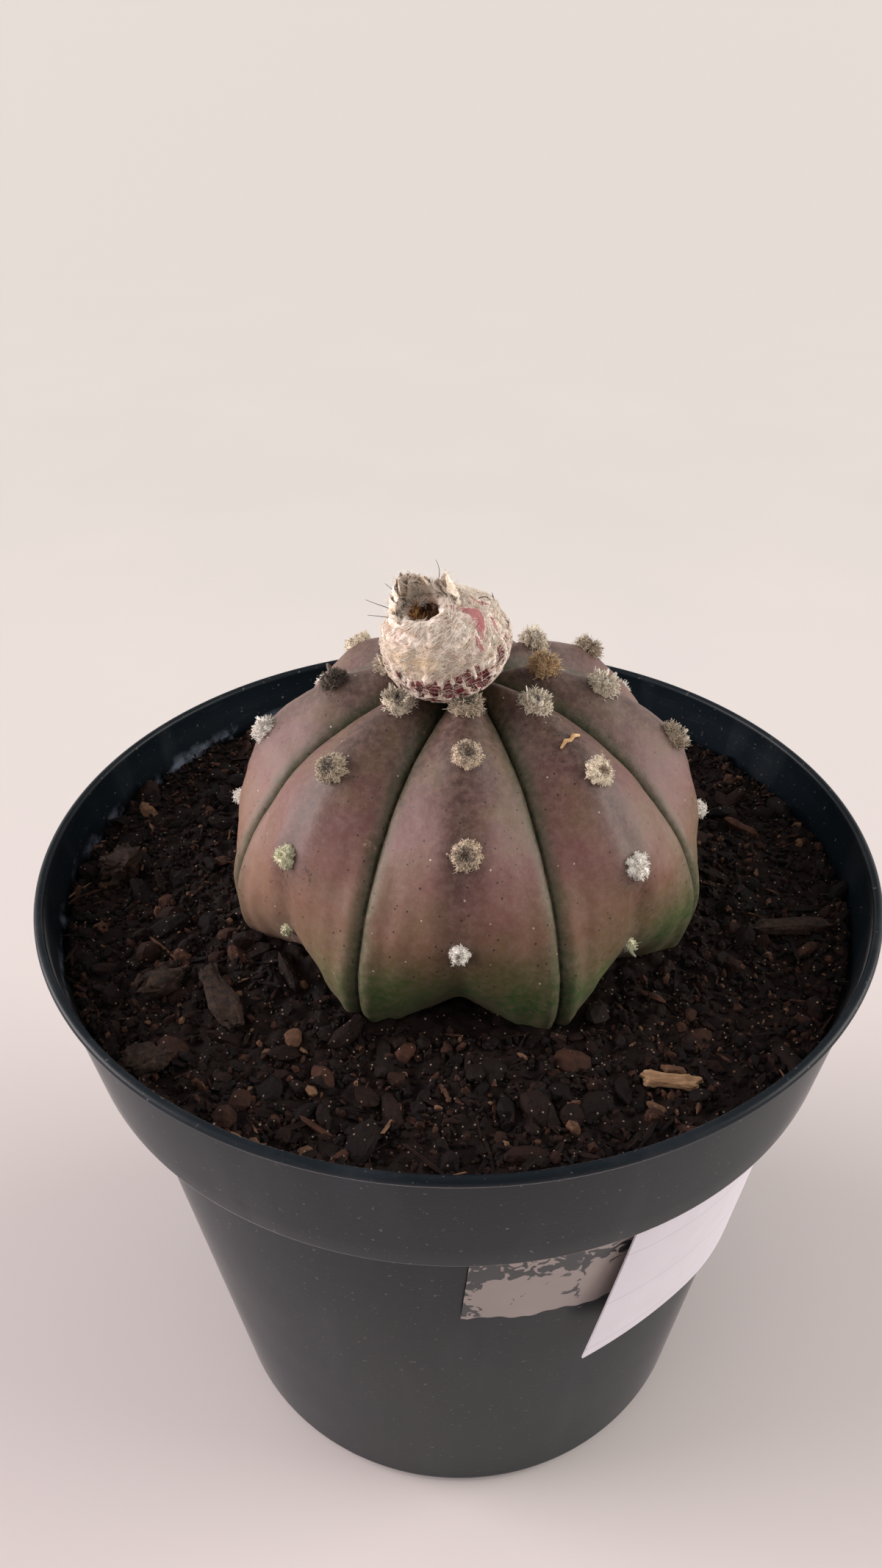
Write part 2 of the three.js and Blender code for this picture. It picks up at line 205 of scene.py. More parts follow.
def finish_surface(add, result, surface, material):
    """Ends a tree: welds the surface's seams, smooths it and hands it out plain, in its material."""
    welded = add("GeometryNodeMergeByDistance", {"Geometry": surface, "Distance": WELD_DISTANCE})
    smooth = add("GeometryNodeSetShadeSmooth", {"Geometry": welded, "Shade Smooth": True})
    real = add("GeometryNodeRealizeInstances", {"Geometry": smooth})
    finished = add("GeometryNodeSetMaterial", {"Geometry": real, "Material": material})
    wire(result, [finished])


def grow(name, start, tree, **sizes):
    """Runs a tree on a mesh, with some inputs set, and returns an object with the plain result."""
    piece = add_object(name, start)
    modifier = piece.modifiers.new("grow", "NODES")
    modifier.node_group = tree
    for item in tree.interface.items_tree:
        if item.in_out == "INPUT" and item.name in sizes:
            modifier[item.identifier] = sizes[item.name]
    return make_plain(piece)


def make_plain(piece):
    """Replaces a piece's mesh and modifiers with the plain mesh that they give."""
    graph = bpy.context.evaluated_depsgraph_get()
    mesh = bpy.data.meshes.new_from_object(piece.evaluated_get(graph), depsgraph=graph)
    piece.modifiers.clear()
    piece.data = mesh
    mesh.name = piece.name
    return piece


def mesh_from(name, points, faces, material, smooth=True):
    """A mesh in one material from its points and faces."""
    mesh = bpy.data.meshes.new(name)
    mesh.from_pydata([tuple(point) for point in points], [], faces)
    mesh.polygons.foreach_set("use_smooth", [smooth] * len(mesh.polygons))
    mesh.materials.append(material)
    mesh.update()
    return mesh


def mark(mesh, name, values):
    """Stores one number a vertex, for a material or a tree to read."""
    mesh.attributes.new(name, "FLOAT", "POINT").data.foreach_set("value", np.asarray(values, np.float32))


def mark_directions(mesh, name, vectors):
    """Stores one vector a vertex, for a tree to read."""
    mesh.attributes.new(name, "FLOAT_VECTOR", "POINT").data.foreach_set("vector", np.ravel(vectors))


def join(name, parts):
    """One object from several, whose faces keep their materials and marks."""
    with bpy.context.temp_override(active_object=parts[0], selected_editable_objects=parts):
        bpy.ops.object.join()
    parts[0].name = name
    parts[0].data.name = name
    return parts[0]


def settle(piece, slot, *nodes):
    """The piece rides on the one body and stands for its CAD nodes, which it hides; the slot is not used."""
    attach(piece, "root")
    if nodes:
        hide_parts(*nodes)
    return piece


def stacked_faces(rings, sides):
    """Faces of rings stacked from low to high, each counter-clockwise from above. The last two faces
    close the ends."""
    faces = []
    for ring in range(rings - 1):
        low = ring * sides
        high = low + sides
        for i in range(sides):
            j = (i + 1) % sides
            faces.append((low + i, low + j, high + j, high + i))
    faces.append(tuple(reversed(range(sides))))
    faces.append(tuple(range((rings - 1) * sides, rings * sides)))
    return faces


def turned(faces):
    """The same faces seen from their other side, for rings that run clockwise or walls that face inward."""
    return [tuple(reversed(face)) for face in faces]


def tube(points, radii, sides):
    """Points and faces of a closed tube along a line, with one radius a point."""
    places = []
    side = (points[1] - points[0]).orthogonal()
    for i, point in enumerate(points):
        ahead = (points[min(i + 1, len(points) - 1)] - points[max(i - 1, 0)]).normalized()
        side = (side - ahead * side.dot(ahead)).normalized()
        up = ahead.cross(side)
        for k in range(sides):
            angle = k * TURN / sides
            places.append(point + float(radii[i]) * (math.cos(angle) * side + math.sin(angle) * up))
    return places, stacked_faces(len(points), sides)


def gather(shapes):
    """The points and faces of several shapes as one."""
    all_points = []
    all_faces = []
    for points, faces in shapes:
        first = len(all_points)
        all_points.extend(points)
        all_faces.extend(tuple(first + i for i in face) for face in faces)
    return all_points, all_faces


# ---------------------------------------------------------------- materials


def per_mm(size):
    """The noise scale whose features are about this many millimetres long."""
    return 1 / (size * MM)


def new_material(name, roughness, **settings):
    """A material: (the material, a function that adds nodes to it, its shader, object coordinates)."""
    material = bpy.data.materials.new(name)
    material.use_nodes = True
    shader = material.node_tree.nodes["Principled BSDF"]
    shader.inputs["Roughness"].default_value = roughness
    for label, value in settings.items():
        shader.inputs[label.replace("_", " ")].default_value = value
    add = partial(node, material.node_tree)
    return material, add, shader, add("ShaderNodeTexCoord").outputs["Object"]


def moulded_polypropylene():
    """Injection-moulded polypropylene: dark slate and semi-matt, with a pale sheen at grazing angles,
    faint scuffs round it, runs down it, dust specks, and lime where water has dried inside the rim.
    The moulded grain and the dust are drawn coarser than they are, so that they show."""
    material, add, shader, where = new_material(
        "moulded polypropylene", 0.35, IOR=1.49, Specular_IOR_Level=0.13, Sheen_Weight=0.9,
        Sheen_Roughness=0.12, Sheen_Tint=linear("d6ced0"))
    cloud = add("ShaderNodeTexNoise", {"Vector": where, "Scale": per_mm(22), "Detail": 4.0})
    base = add("ShaderNodeMix", {"Factor": cloud, "A": "0e151a", "B": "171f26"}, data_type="RGBA")
    around = add("ShaderNodeMapping", {"Vector": where, "Scale": (1.0, 1.0, 9.0)})
    scuffs = add("ShaderNodeTexNoise",
                 {"Vector": around, "Scale": per_mm(9), "Detail": 8.0, "Roughness": 0.7})
    scuffed = add("ShaderNodeMapRange",
                  {"Value": scuffs, "From Min": 0.56, "From Max": 0.85, "To Max": 0.09})
    rubbed = add("ShaderNodeMix", {"Factor": scuffed, "A": base, "B": "6e6c6d"}, data_type="RGBA")
    downward = add("ShaderNodeMapping", {"Vector": where, "Scale": (1.0, 1.0, 0.12)})
    runs = add("ShaderNodeTexNoise", {"Vector": downward, "Scale": per_mm(9), "Detail": 4.0})
    dried = add("ShaderNodeMapRange", {"Value": runs, "From Min": 0.55, "From Max": 0.75, "To Max": 0.045})
    worn = add("ShaderNodeMix", {"Factor": dried, "A": rubbed, "B": "83868c"}, data_type="RGBA")
    grit = add("ShaderNodeTexNoise", {"Vector": where, "Scale": per_mm(0.8), "Detail": 2.0})
    dust = add("ShaderNodeMapRange", {"Value": grit, "From Min": 0.68, "From Max": 0.77, "To Max": 0.35})
    dusty = add("ShaderNodeMix", {"Factor": dust, "A": worn, "B": "9a938e"}, data_type="RGBA")
    inside = add("ShaderNodeAttribute", attribute_name="lime").outputs["Fac"]
    smear = add("ShaderNodeTexNoise",
                {"Vector": where, "Scale": per_mm(7), "Detail": 6.0, "Roughness": 0.65})
    crust = add("ShaderNodeMapRange", {"Value": smear, "From Min": 0.5, "From Max": 0.62})
    limed = add("ShaderNodeMath", [crust, inside], operation="MULTIPLY")
    soiled = add("ShaderNodeMath", [inside, 0.8], operation="MULTIPLY")
    damp = add("ShaderNodeMix", {"Factor": soiled, "A": dusty, "B": "0b0c0f"}, data_type="RGBA")
    coloured = add("ShaderNodeMix", {"Factor": limed, "A": damp, "B": "727b8b"}, data_type="RGBA")
    rough = add("ShaderNodeMapRange", {"Value": cloud, "To Min": 0.27, "To Max": 0.38})
    grain = add("ShaderNodeTexNoise", {"Vector": where, "Scale": per_mm(0.4), "Detail": 2.0})
    relief = add("ShaderNodeBump", {"Height": grain, "Distance": 0.03 * MM, "Strength": 0.5})
    wire(shader, {"Base Color": coloured, "Roughness": rough, "Normal": relief})
    return material


def peat_and_bark():
    """Damp peat and composted bark: nearly black brown and matt, with each crumb its own brown and pale
    flecks of sand and fibre."""
    material, add, shader, where = new_material("damp peat and bark", 0.8, Specular_IOR_Level=0.18)
    tone = add("ShaderNodeAttribute", attribute_name="tone").outputs["Fac"]
    crumb = add("ShaderNodeValToRGB", [tone], stops=[
        (0.0, "0a0504"), (0.5, "170b08"), (0.8, "281610"), (0.95, "4a2f24"), (1.0, "7a5b46")])
    patch = add("ShaderNodeTexNoise", {"Vector": where, "Scale": per_mm(2), "Detail": 5.0})
    dark = add("ShaderNodeMapRange", {"Value": patch, "From Min": 0.4, "From Max": 0.7, "To Max": 0.6})
    varied = add("ShaderNodeMix", {"Factor": dark, "A": crumb, "B": "0a0504"}, data_type="RGBA")
    spots = add("ShaderNodeTexVoronoi", {"Vector": where, "Scale": per_mm(1.0)})
    pick = add("ShaderNodeSeparateColor", [spots.outputs["Color"]])
    some = add("ShaderNodeMath", [pick.outputs["Red"], 0.6], operation="GREATER_THAN")
    dot = add("ShaderNodeMapRange", {"Value": spots.outputs["Distance"], "From Min": 0.1,
                                     "From Max": 0.2, "To Min": 0.75, "To Max": 0.0})
    fleck = add("ShaderNodeMath", [dot, some], operation="MULTIPLY")
    flecked = add("ShaderNodeMix", {"Factor": fleck, "A": varied, "B": "a38d7d"}, data_type="RGBA")
    grain = add("ShaderNodeTexNoise", {"Vector": where, "Scale": per_mm(0.8), "Detail": 6.0})
    relief = add("ShaderNodeBump", {"Height": grain, "Distance": 0.35 * MM, "Strength": 0.9})
    wire(shader, {"Base Color": flecked, "Normal": relief})
    return material


def waxy_skin():
    """Grown, waxy cactus skin: mauve brown where the sun has stained it, olive tan below, green at the base
    and in the grooves, with dark pores, pale scales and brown scars. Painted light makes the lower left side
    lighter and ruddier. Painted shade darkens the grooves' creases and the skin round the areoles, and is
    part of a dusky band down the middle of each rib. Real pores are too fine to show, so they are drawn a few
    times as large."""
    material, add, shader, where = new_material(
        "waxy sun-stained skin", 0.42, Specular_IOR_Level=0.38, Sheen_Weight=0.15, Sheen_Roughness=0.4,
        Sheen_Tint=linear("e3bdb2"))
    down = add("ShaderNodeAttribute", attribute_name="down").outputs["Fac"]
    groove = add("ShaderNodeAttribute", attribute_name="groove_gap").outputs["Fac"]
    areole = add("ShaderNodeAttribute", attribute_name="areole_gap").outputs["Fac"]
    # The ground colour by height, with tan drifts, and painted light that makes the lower left side lighter
    # and ruddier.
    cloud = add("ShaderNodeTexNoise", {"Vector": where, "Scale": per_mm(13), "Detail": 4.0})
    wobble = add("ShaderNodeMapRange", {"Value": cloud, "To Min": -0.045, "To Max": 0.045})
    depth = add("ShaderNodeMath", [down, wobble], operation="ADD")
    base = add("ShaderNodeValToRGB", [depth], stops=[
        (0.0, "3d2a25"), (0.18, "48312c"), (0.27, "613e3c"), (0.35, "6e4742"), (0.405, "70503d"),
        (0.445, "5e5134"), (0.485, "42572a"), (0.52, "2a5020")])
    drift = add("ShaderNodeTexNoise", {"Vector": where, "Scale": per_mm(8), "Detail": 5.0})
    tan = add("ShaderNodeMapRange", {"Value": drift, "From Min": 0.42, "From Max": 0.66, "To Max": 0.6})
    drifted = add("ShaderNodeMix", {"Factor": tan, "A": base, "B": "645239"}, data_type="RGBA")
    # Painted light: low on the left side the skin is coloured lighter and ruddier, as if lit more strongly.
    sideways = add("ShaderNodeSeparateXYZ", [where]).outputs["X"]
    painted_light_leftward = add("ShaderNodeMapRange",
                  {"Value": sideways, "From Min": -12 * MM, "From Max": -34 * MM, "To Max": 0.75})
    lowish = add("ShaderNodeMapRange", {"Value": depth, "From Min": 0.33, "From Max": 0.43})
    painted_light_share = add("ShaderNodeMath", [painted_light_leftward, lowish], operation="MULTIPLY")
    painted_light_left = add("ShaderNodeMix", {"Factor": painted_light_share, "A": drifted, "B": "815e4f"}, data_type="RGBA")
    # A dusky band down the middle of a rib, partly pigment and partly painted shade; green beside the
    # grooves; and painted shade in the grooves' creases and round the areoles.
    middle = add("ShaderNodeAttribute", attribute_name="middle_gap").outputs["Fac"]
    # The dusky band is partly pigment and partly painted shade, and is strongest high on the rib.
    band = add("ShaderNodeMapRange",
               {"Value": middle, "From Min": 0.5, "From Max": 5.0, "To Min": 0.7, "To Max": 0.0})
    high = add("ShaderNodeMapRange",
               {"Value": depth, "From Min": 0.33, "From Max": 0.44, "To Min": 1.0, "To Max": 0.25})
    banded = add("ShaderNodeMath", [band, high], operation="MULTIPLY")
    dusky = add("ShaderNodeMix", {"Factor": banded, "A": painted_light_left, "B": "372521"}, data_type="RGBA")
    reach = add("ShaderNodeMapRange",
                {"Value": depth, "From Min": 0.4, "From Max": 0.52, "To Min": 2.6, "To Max": 5.5})
    near = add("ShaderNodeMapRange",
               {"Value": groove, "From Min": 0.2, "From Max": reach, "To Min": 0.75, "To Max": 0.0})
    grooved = add("ShaderNodeMix", {"Factor": near, "A": dusky, "B": "2c4327"}, data_type="RGBA")
    # Painted shade: the bottom of each groove's crease is coloured nearly black green.
    painted_crease_shade = add("ShaderNodeMapRange",
               {"Value": groove, "From Min": 0.05, "From Max": 0.4, "To Min": 0.85, "To Max": 0.0})
    creased = add("ShaderNodeMix", {"Factor": painted_crease_shade, "A": grooved, "B": "1d2118"}, data_type="RGBA")
    # Painted shadow: a darker ring on the skin round each areole, beneath its tuft.
    painted_areole_shadow = add("ShaderNodeMapRange",
               {"Value": areole, "From Min": 2.2, "From Max": 4.8, "To Min": 0.45, "To Max": 0.0})
    areole_shadowed = add("ShaderNodeMix", {"Factor": painted_areole_shadow, "A": creased, "B": "44342f"}, data_type="RGBA")
    # Pale waxy bloom, pale scales and dark pores.
    fine = add("ShaderNodeTexNoise",
               {"Vector": where, "Scale": per_mm(1.2), "Detail": 6.0, "Roughness": 0.75})
    bloom = add("ShaderNodeMapRange", {"Value": fine, "From Min": 0.42, "From Max": 0.7, "To Max": 0.55})
    bloomed = add("ShaderNodeMix", {"Factor": bloom, "A": areole_shadowed, "B": "82685e"}, data_type="RGBA")
    cells = add("ShaderNodeTexVoronoi", {"Vector": where, "Scale": per_mm(1.3), "Randomness": 1.0})
    pick = add("ShaderNodeSeparateColor", [cells.outputs["Color"]])
    dot = add("ShaderNodeMapRange", {"Value": cells.outputs["Distance"], "From Min": 0.1,
                                     "From Max": 0.16, "To Min": 1.0, "To Max": 0.0})
    pale = add("ShaderNodeMath", [pick.outputs["Red"], 0.88], operation="GREATER_THAN")
    pale_dot = add("ShaderNodeMath", [dot, pale], operation="MULTIPLY")
    scaled = add("ShaderNodeMix", {"Factor": pale_dot, "A": bloomed, "B": "b0a49a"}, data_type="RGBA")
    black = add("ShaderNodeMath", [pick.outputs["Green"], 0.5], operation="GREATER_THAN")
    dark_dot = add("ShaderNodeMath", [dot, black], operation="MULTIPLY")
    pored = add("ShaderNodeMix", {"Factor": dark_dot, "A": scaled, "B": "241916"}, data_type="RGBA")
    # Brown scars, and the two wounds.
    blots = add("ShaderNodeTexNoise",
                {"Vector": where, "Scale": per_mm(5), "Detail": 7.0, "Roughness": 0.72})
    scar = add("ShaderNodeMapRange", {"Value": blots, "From Min": 0.68, "From Max": 0.74, "To Max": 0.6})
    scarred = add("ShaderNodeMix", {"Factor": scar, "A": pored, "B": "35261f"}, data_type="RGBA")
    for centre_mm, reach_mm, colour in WOUNDS_MM:
        off = add("ShaderNodeVectorMath", [where, Vector(centre_mm) * MM], operation="DISTANCE")
        close = add("ShaderNodeMapRange", {"Value": off.outputs["Value"], "From Max": reach_mm * MM,
                                           "To Min": 0.22, "To Max": 0.0})
        dappled = add("ShaderNodeMath", [close, fine], operation="ADD")
        healed = add("ShaderNodeMapRange",
                     {"Value": dappled, "From Min": 0.7, "From Max": 0.78, "To Max": 0.7})
        scarred = add("ShaderNodeMix", {"Factor": healed, "A": scarred, "B": colour}, data_type="RGBA")
    rough = add("ShaderNodeMapRange", {"Value": fine, "To Min": 0.42, "To Max": 0.62})
    relief = add("ShaderNodeBump", {"Height": fine, "Distance": 0.12 * MM, "Strength": 0.6})
    wire(shader, {"Base Color": scarred, "Roughness": rough, "Normal": relief})
    return material


def wool(name, centre, rim, tip, heart=0.45):
    """Matted plant wool: matt, dark within heart (a share of the tuft's radius) and at the fibres' roots,
    and pale at the rim and the tips. Its grain is that of small locks, as single hairs are too fine to
    show."""
    material, add, shader, where = new_material(name, 0.95, Sheen_Weight=0.15, Specular_IOR_Level=0.15)
    rim_at = add("ShaderNodeAttribute", attribute_name="rim").outputs["Fac"]
    tone = add("ShaderNodeAttribute", attribute_name="tone").outputs["Fac"]
    tip_at = add("ShaderNodeAttribute", attribute_name="tip").outputs["Fac"]
    clump = add("ShaderNodeTexNoise",
                {"Vector": where, "Scale": per_mm(0.8), "Detail": 4.0, "Roughness": 0.65})
    uneven = add("ShaderNodeMath", [clump, 1.5, rim_at], operation="MULTIPLY_ADD")
    pale = add("ShaderNodeMapRange", {"Value": uneven, "From Min": 0.55 + heart, "From Max": 1.0 + heart})
    body = add("ShaderNodeMix", {"Factor": pale, "A": centre, "B": rim}, data_type="RGBA")
    end = add("ShaderNodeMath", [tip_at, tone], operation="MULTIPLY")
    tipped = add("ShaderNodeMix", {"Factor": end, "A": body, "B": tip}, data_type="RGBA")
    root = add("ShaderNodeMapRange", {"Value": tip_at, "From Max": 0.4, "To Min": 0.45, "To Max": 0.0})
    rooted = add("ShaderNodeMix", {"Factor": root, "A": tipped, "B": centre}, data_type="RGBA")
    grain = add("ShaderNodeTexNoise", {"Vector": where, "Scale": per_mm(0.35), "Detail": 3.0})
    relief = add("ShaderNodeBump", {"Height": grain, "Distance": 0.3 * MM, "Strength": 1.0})
    wire(shader, {"Base Color": rooted, "Normal": relief})
    return material


def two_tone(name, first, second, grain_mm, roughness, stretch=(1.0, 1.0, 1.0), depth_mm=0.1):
    """A grown, dry surface whose two tones and relief follow the same grain, which stretch can draw out."""
    material, add, shader, where = new_material(name, roughness, Specular_IOR_Level=0.3)
    drawn = add("ShaderNodeMapping", {"Vector": where, "Scale": stretch})
    grain = add("ShaderNodeTexNoise",
                {"Vector": drawn, "Scale": per_mm(grain_mm), "Detail": 5.0, "Roughness": 0.62})
    parted = add("ShaderNodeMapRange", {"Value": grain, "From Min": 0.32, "From Max": 0.68})
    coloured = add("ShaderNodeMix", {"Factor": parted, "A": first, "B": second}, data_type="RGBA")
    relief = add("ShaderNodeBump", {"Height": grain, "Distance": depth_mm * MM, "Strength": 0.8})
    wire(shader, {"Base Color": coloured, "Normal": relief})
    return material


def felted_berry():
    """Ripe berry skin, pink to dark red, under matted cream felt that is worn away where bare is 1. The
    felt's grain is that of its small locks, as its hairs are too fine to show."""
    material, add, shader, where = new_material("felted berry skin", 0.75, Specular_IOR_Level=0.3)
    bare = add("ShaderNodeAttribute", attribute_name="bare").outputs["Fac"]
    low = add("ShaderNodeAttribute", attribute_name="low").outputs["Fac"]
    frayed = add("ShaderNodeTexNoise",
                 {"Vector": where, "Scale": per_mm(1.6), "Detail": 6.0, "Roughness": 0.7})
    ragged = add("ShaderNodeMath", [frayed, 0.9, bare], operation="MULTIPLY_ADD")
    through = add("ShaderNodeMapRange", {"Value": ragged, "From Min": 0.84, "From Max": 0.92})
    flush = add("ShaderNodeTexNoise", {"Vector": where, "Scale": per_mm(2.5), "Detail": 4.0})
    pink = add("ShaderNodeMix", {"Factor": flush, "A": "8d4b50", "B": "bb8480"}, data_type="RGBA")
    skin = add("ShaderNodeMix", {"Factor": low, "A": pink, "B": "7f3a40"}, data_type="RGBA")
    matted = add("ShaderNodeMapRange", {"Value": frayed, "From Min": 0.36, "From Max": 0.6})
    felt = add("ShaderNodeMix", {"Factor": matted, "A": "b08e78", "B": "f3eae1"}, data_type="RGBA")
    thin = add("ShaderNodeMapRange", {"Value": flush, "From Min": 0.5, "From Max": 0.64, "To Max": 0.22})
    blushed = add("ShaderNodeMix", {"Factor": thin, "A": felt, "B": "c08f8b"}, data_type="RGBA")
    stain = add("ShaderNodeAttribute", attribute_name="stain").outputs["Fac"]
    stained = add("ShaderNodeMix", {"Factor": stain, "A": blushed, "B": "dcc298"}, data_type="RGBA")
    dots = add("ShaderNodeTexNoise", {"Vector": where, "Scale": per_mm(0.5), "Detail": 1.0})
    speck = add("ShaderNodeMapRange", {"Value": dots, "From Min": 0.68, "From Max": 0.72, "To Max": 0.8})
    specked = add("ShaderNodeMix", {"Factor": speck, "A": stained, "B": "4a3328"}, data_type="RGBA")
    coloured = add("ShaderNodeMix", {"Factor": through, "A": specked, "B": skin}, data_type="RGBA")
    relief = add("ShaderNodeBump", {"Height": frayed, "Distance": 0.3 * MM, "Strength": 0.8})
    wire(shader, {"Base Color": coloured, "Normal": relief})
    return material


def film_on_adhesive():
    """Clear film over dried beige adhesive: a little glossy, with dark islands where the adhesive has let
    go and the pot shows through."""
    material, add, shader, where = new_material("film on dried adhesive", 0.32, Specular_IOR_Level=0.35)
    edge = add("ShaderNodeAttribute", attribute_name="edge").outputs["Fac"]
    creep = add("ShaderNodeTexNoise",
                {"Vector": where, "Scale": per_mm(3), "Detail": 3.0, "Distortion": 1.2})
    islands = add("ShaderNodeMath", [edge, 0.24, creep], operation="MULTIPLY_ADD")
    lifted = add("ShaderNodeMapRange", {"Value": islands, "From Min": 0.675, "From Max": 0.7})
    blotch = add("ShaderNodeTexNoise", {"Vector": where, "Scale": per_mm(9), "Detail": 3.0})
    glue = add("ShaderNodeMix", {"Factor": blotch, "A": "867b78", "B": "988c87"}, data_type="RGBA")
    coloured = add("ShaderNodeMix", {"Factor": lifted, "A": glue, "B": "25292c"}, data_type="RGBA")
    relief = add("ShaderNodeBump", {"Height": islands, "Distance": 0.05 * MM, "Strength": 0.3})
    wire(shader, {"Base Color": coloured, "Normal": relief})
    return material


def uncoated_card():
    """Uncoated white card, pressed from pulp: matt, faintly cloudy, with two thin grey writing lines."""
    material, add, shader, where = new_material("uncoated white card", 0.8, Specular_IOR_Level=0.25)
    down = add("ShaderNodeAttribute", attribute_name="down").outputs["Fac"]
    pulp = add("ShaderNodeTexNoise", {"Vector": where, "Scale": per_mm(6), "Detail": 6.0})
    paper = add("ShaderNodeMix", {"Factor": pulp, "A": "c6c1c9", "B": "d1ccd4"}, data_type="RGBA")
    third = add("ShaderNodeMath", [down, 3.0], operation="MULTIPLY")
    along = add("ShaderNodeMath", [third], operation="FRACT")
    from_line = add("ShaderNodeMath", [along, 0.8], operation="SUBTRACT")
    gap = add("ShaderNodeMath", [from_line], operation="ABSOLUTE")
    line = add("ShaderNodeMapRange",
               {"Value": gap, "From Min": 0.008, "From Max": 0.016, "To Min": 0.3, "To Max": 0.0})
    ruled = add("ShaderNodeMix", {"Factor": line, "A": paper, "B": "8a8f9c"}, data_type="RGBA")
    relief = add("ShaderNodeBump", {"Height": pulp, "Distance": 0.02 * MM, "Strength": 0.4})
    wire(shader, {"Base Color": ruled, "Normal": relief})
    return material


plastic = moulded_polypropylene()
peat = peat_and_bark()
skin_finish = waxy_skin()
# Wool that has weathered for years near the apex: a dull grey with a dark heart, and the same torn open
# so that its paler inside shows.
old_wool = wool("weathered grey wool", "2f231d", "ae9b83", "ece0cd", heart=0.5)
torn_wool = wool("torn pale wool", "3a2b25", "d6c7b0", "faf3e6", heart=0.4)
# Wool half way down the ribs: a cream ring round the brown stub that its flower or spine left.
ring_wool = wool("brown-hearted wool", "4a2c1e", "c2ab91", "f5e9d6", heart=0.6)
cream_wool = wool("cream wool", "7a5533", "ecdcc2", "fdf6e8", heart=0.4)
# Two soiled tufts: one that the fruit's juice has stained tan, and one caked with dirt.
tan_wool = wool("stained tan wool", "6c4729", "b59069", "e0cba6", heart=0.25)
dark_wool = wool("dirty dark wool", "241c19", "4d433c", "8a7f72")
# Sheltered wool low on the ribs: clean and nearly white, or greenish where the skin shows through.
white_wool = wool("fresh white wool", "96795b", "faf4ea", "fffdf8", heart=0.05)
green_wool = wool("young greenish wool", "8a8b58", "dcd9b6", "f4f1da", heart=0.1)
# The berry: felt grown on its skin, long cream hairs that lie combed over it or have come loose, and
# thin dry scales, dark red like the skin below them.
berry_finish = felted_berry()
berry_wool = wool("combed berry wool", "dfc7ad", "f3e8da", "fdf8ee", heart=0.0)
hair_finish = two_tone("loose cream hair", "cfb99f", "fbf4e8", 1.2, 0.8)
scale_finish = two_tone("dry berry scales", "4a2427", "8c5350", 1.0, 0.6)
# The dried flower: petals bleached to cream paper, brown fibres within, rusty ones at its left edge, and
# stiff, dark, faintly glossy bristles. A scrap of it has dried to a tan curl.
petal_finish = two_tone("papery dried petals", "e0c6ac", "fff8ee", 1.6, 0.8)
fibre_finish = two_tone("dry brown fibres", "23150c", "6b4322", 0.9, 0.85)
rust_finish = two_tone("rusty outer fibres", "6e4320", "b98a52", 0.9, 0.85)
bristle_finish = two_tone("dark bristles", "251a16", "4b362d", 0.8, 0.6)
curl_finish = two_tone("dry tan flower scrap", "a87c50", "d8b88c", 0.8, 0.8)
# Chips: bark broken across its grain, deeply pitted and nearly black, and wood split along its grain,
# streaked lengthwise and tan.
bark_finish = two_tone("rough bark", "120b08", "3f2c22", 1.1, 0.85, depth_mm=0.5)
wood_finish = two_tone("split wood", "6a4a34", "ab8b69", 0.7, 0.8, stretch=(0.15, 1.0, 1.0))
tape_finish = film_on_adhesive()
card_finish = uncoated_card()


# ---------------------------------------------------------------- pot


def body_radius(z):
    """The body's outer radius at a height, or at each of an array of heights."""
    return BASE_RADIUS + (BODY_TOP_RADIUS - BASE_RADIUS) * z / COLLAR_Z


def collar_radius(z):
    """The collar's outer radius at a height, or at each of an array of heights."""
    return COLLAR_FOOT_RADIUS + (COLLAR_TOP_RADIUS - COLLAR_FOOT_RADIUS) * (z - COLLAR_Z) / COLLAR_HEIGHT


def arc(radius, centre_r, centre_z, first_deg, last_deg, steps):
    """Profile points along an arc."""
    angles = np.radians(np.linspace(first_deg, last_deg, steps + 1))
    return [(centre_r + radius * math.cos(a), centre_z + radius * math.sin(a)) for a in angles]


def straight(first, last, steps):
    """Points between two profile points, without the two."""
    return [tuple(np.array(first) + (np.array(last) - np.array(first)) * i / steps) for i in range(1, steps)]


def pot_profile():
    """Radius and height of each ring of the pot: out over its underside, up its outside, over the lip and
    down its inside to the middle of its floor."""
    lip = LIP_THICKNESS / 2
    lip_foot = POT_HEIGHT - LIP_THICKNESS
    shelf = COLLAR_Z + WALL
    floor_corner = FLOOR + BASE_CORNER_RADIUS
    floor_radius = body_radius(floor_corner) - WALL - BASE_CORNER_RADIUS
    profile = [(CENTRE_RING_RADIUS, 0), (UNDERSIDE_RING_RADIUS, 0)]
    profile += arc(BASE_CORNER_RADIUS, BASE_RADIUS - BASE_CORNER_RADIUS, BASE_CORNER_RADIUS, -90, 0, 6)
    profile += straight(profile[-1], (BODY_TOP_RADIUS, COLLAR_Z), 10)
    profile += [(BODY_TOP_RADIUS, COLLAR_Z - SHELF_BEVEL), (BODY_TOP_RADIUS + SHELF_BEVEL, COLLAR_Z)]
    profile += arc(COLLAR_FOOT_ROUNDING, COLLAR_FOOT_RADIUS - COLLAR_FOOT_ROUNDING,
                   COLLAR_Z + COLLAR_FOOT_ROUNDING, -90, 0, 3)
    profile += straight(profile[-1], (collar_radius(lip_foot), lip_foot), 5)
    profile += [(collar_radius(lip_foot), lip_foot)]
    profile += arc(lip, LIP_RADIUS - lip, POT_HEIGHT - lip, -60, 210, 14)
    profile += straight(profile[-1], (collar_radius(shelf) - WALL, shelf), 8)
    profile += [(collar_radius(shelf) - WALL, shelf), (BODY_TOP_RADIUS - WALL, shelf)]
    profile += arc(BASE_CORNER_RADIUS, floor_radius, floor_corner, 0, -90, 3)
    return profile + [(CENTRE_RING_RADIUS, FLOOR)]


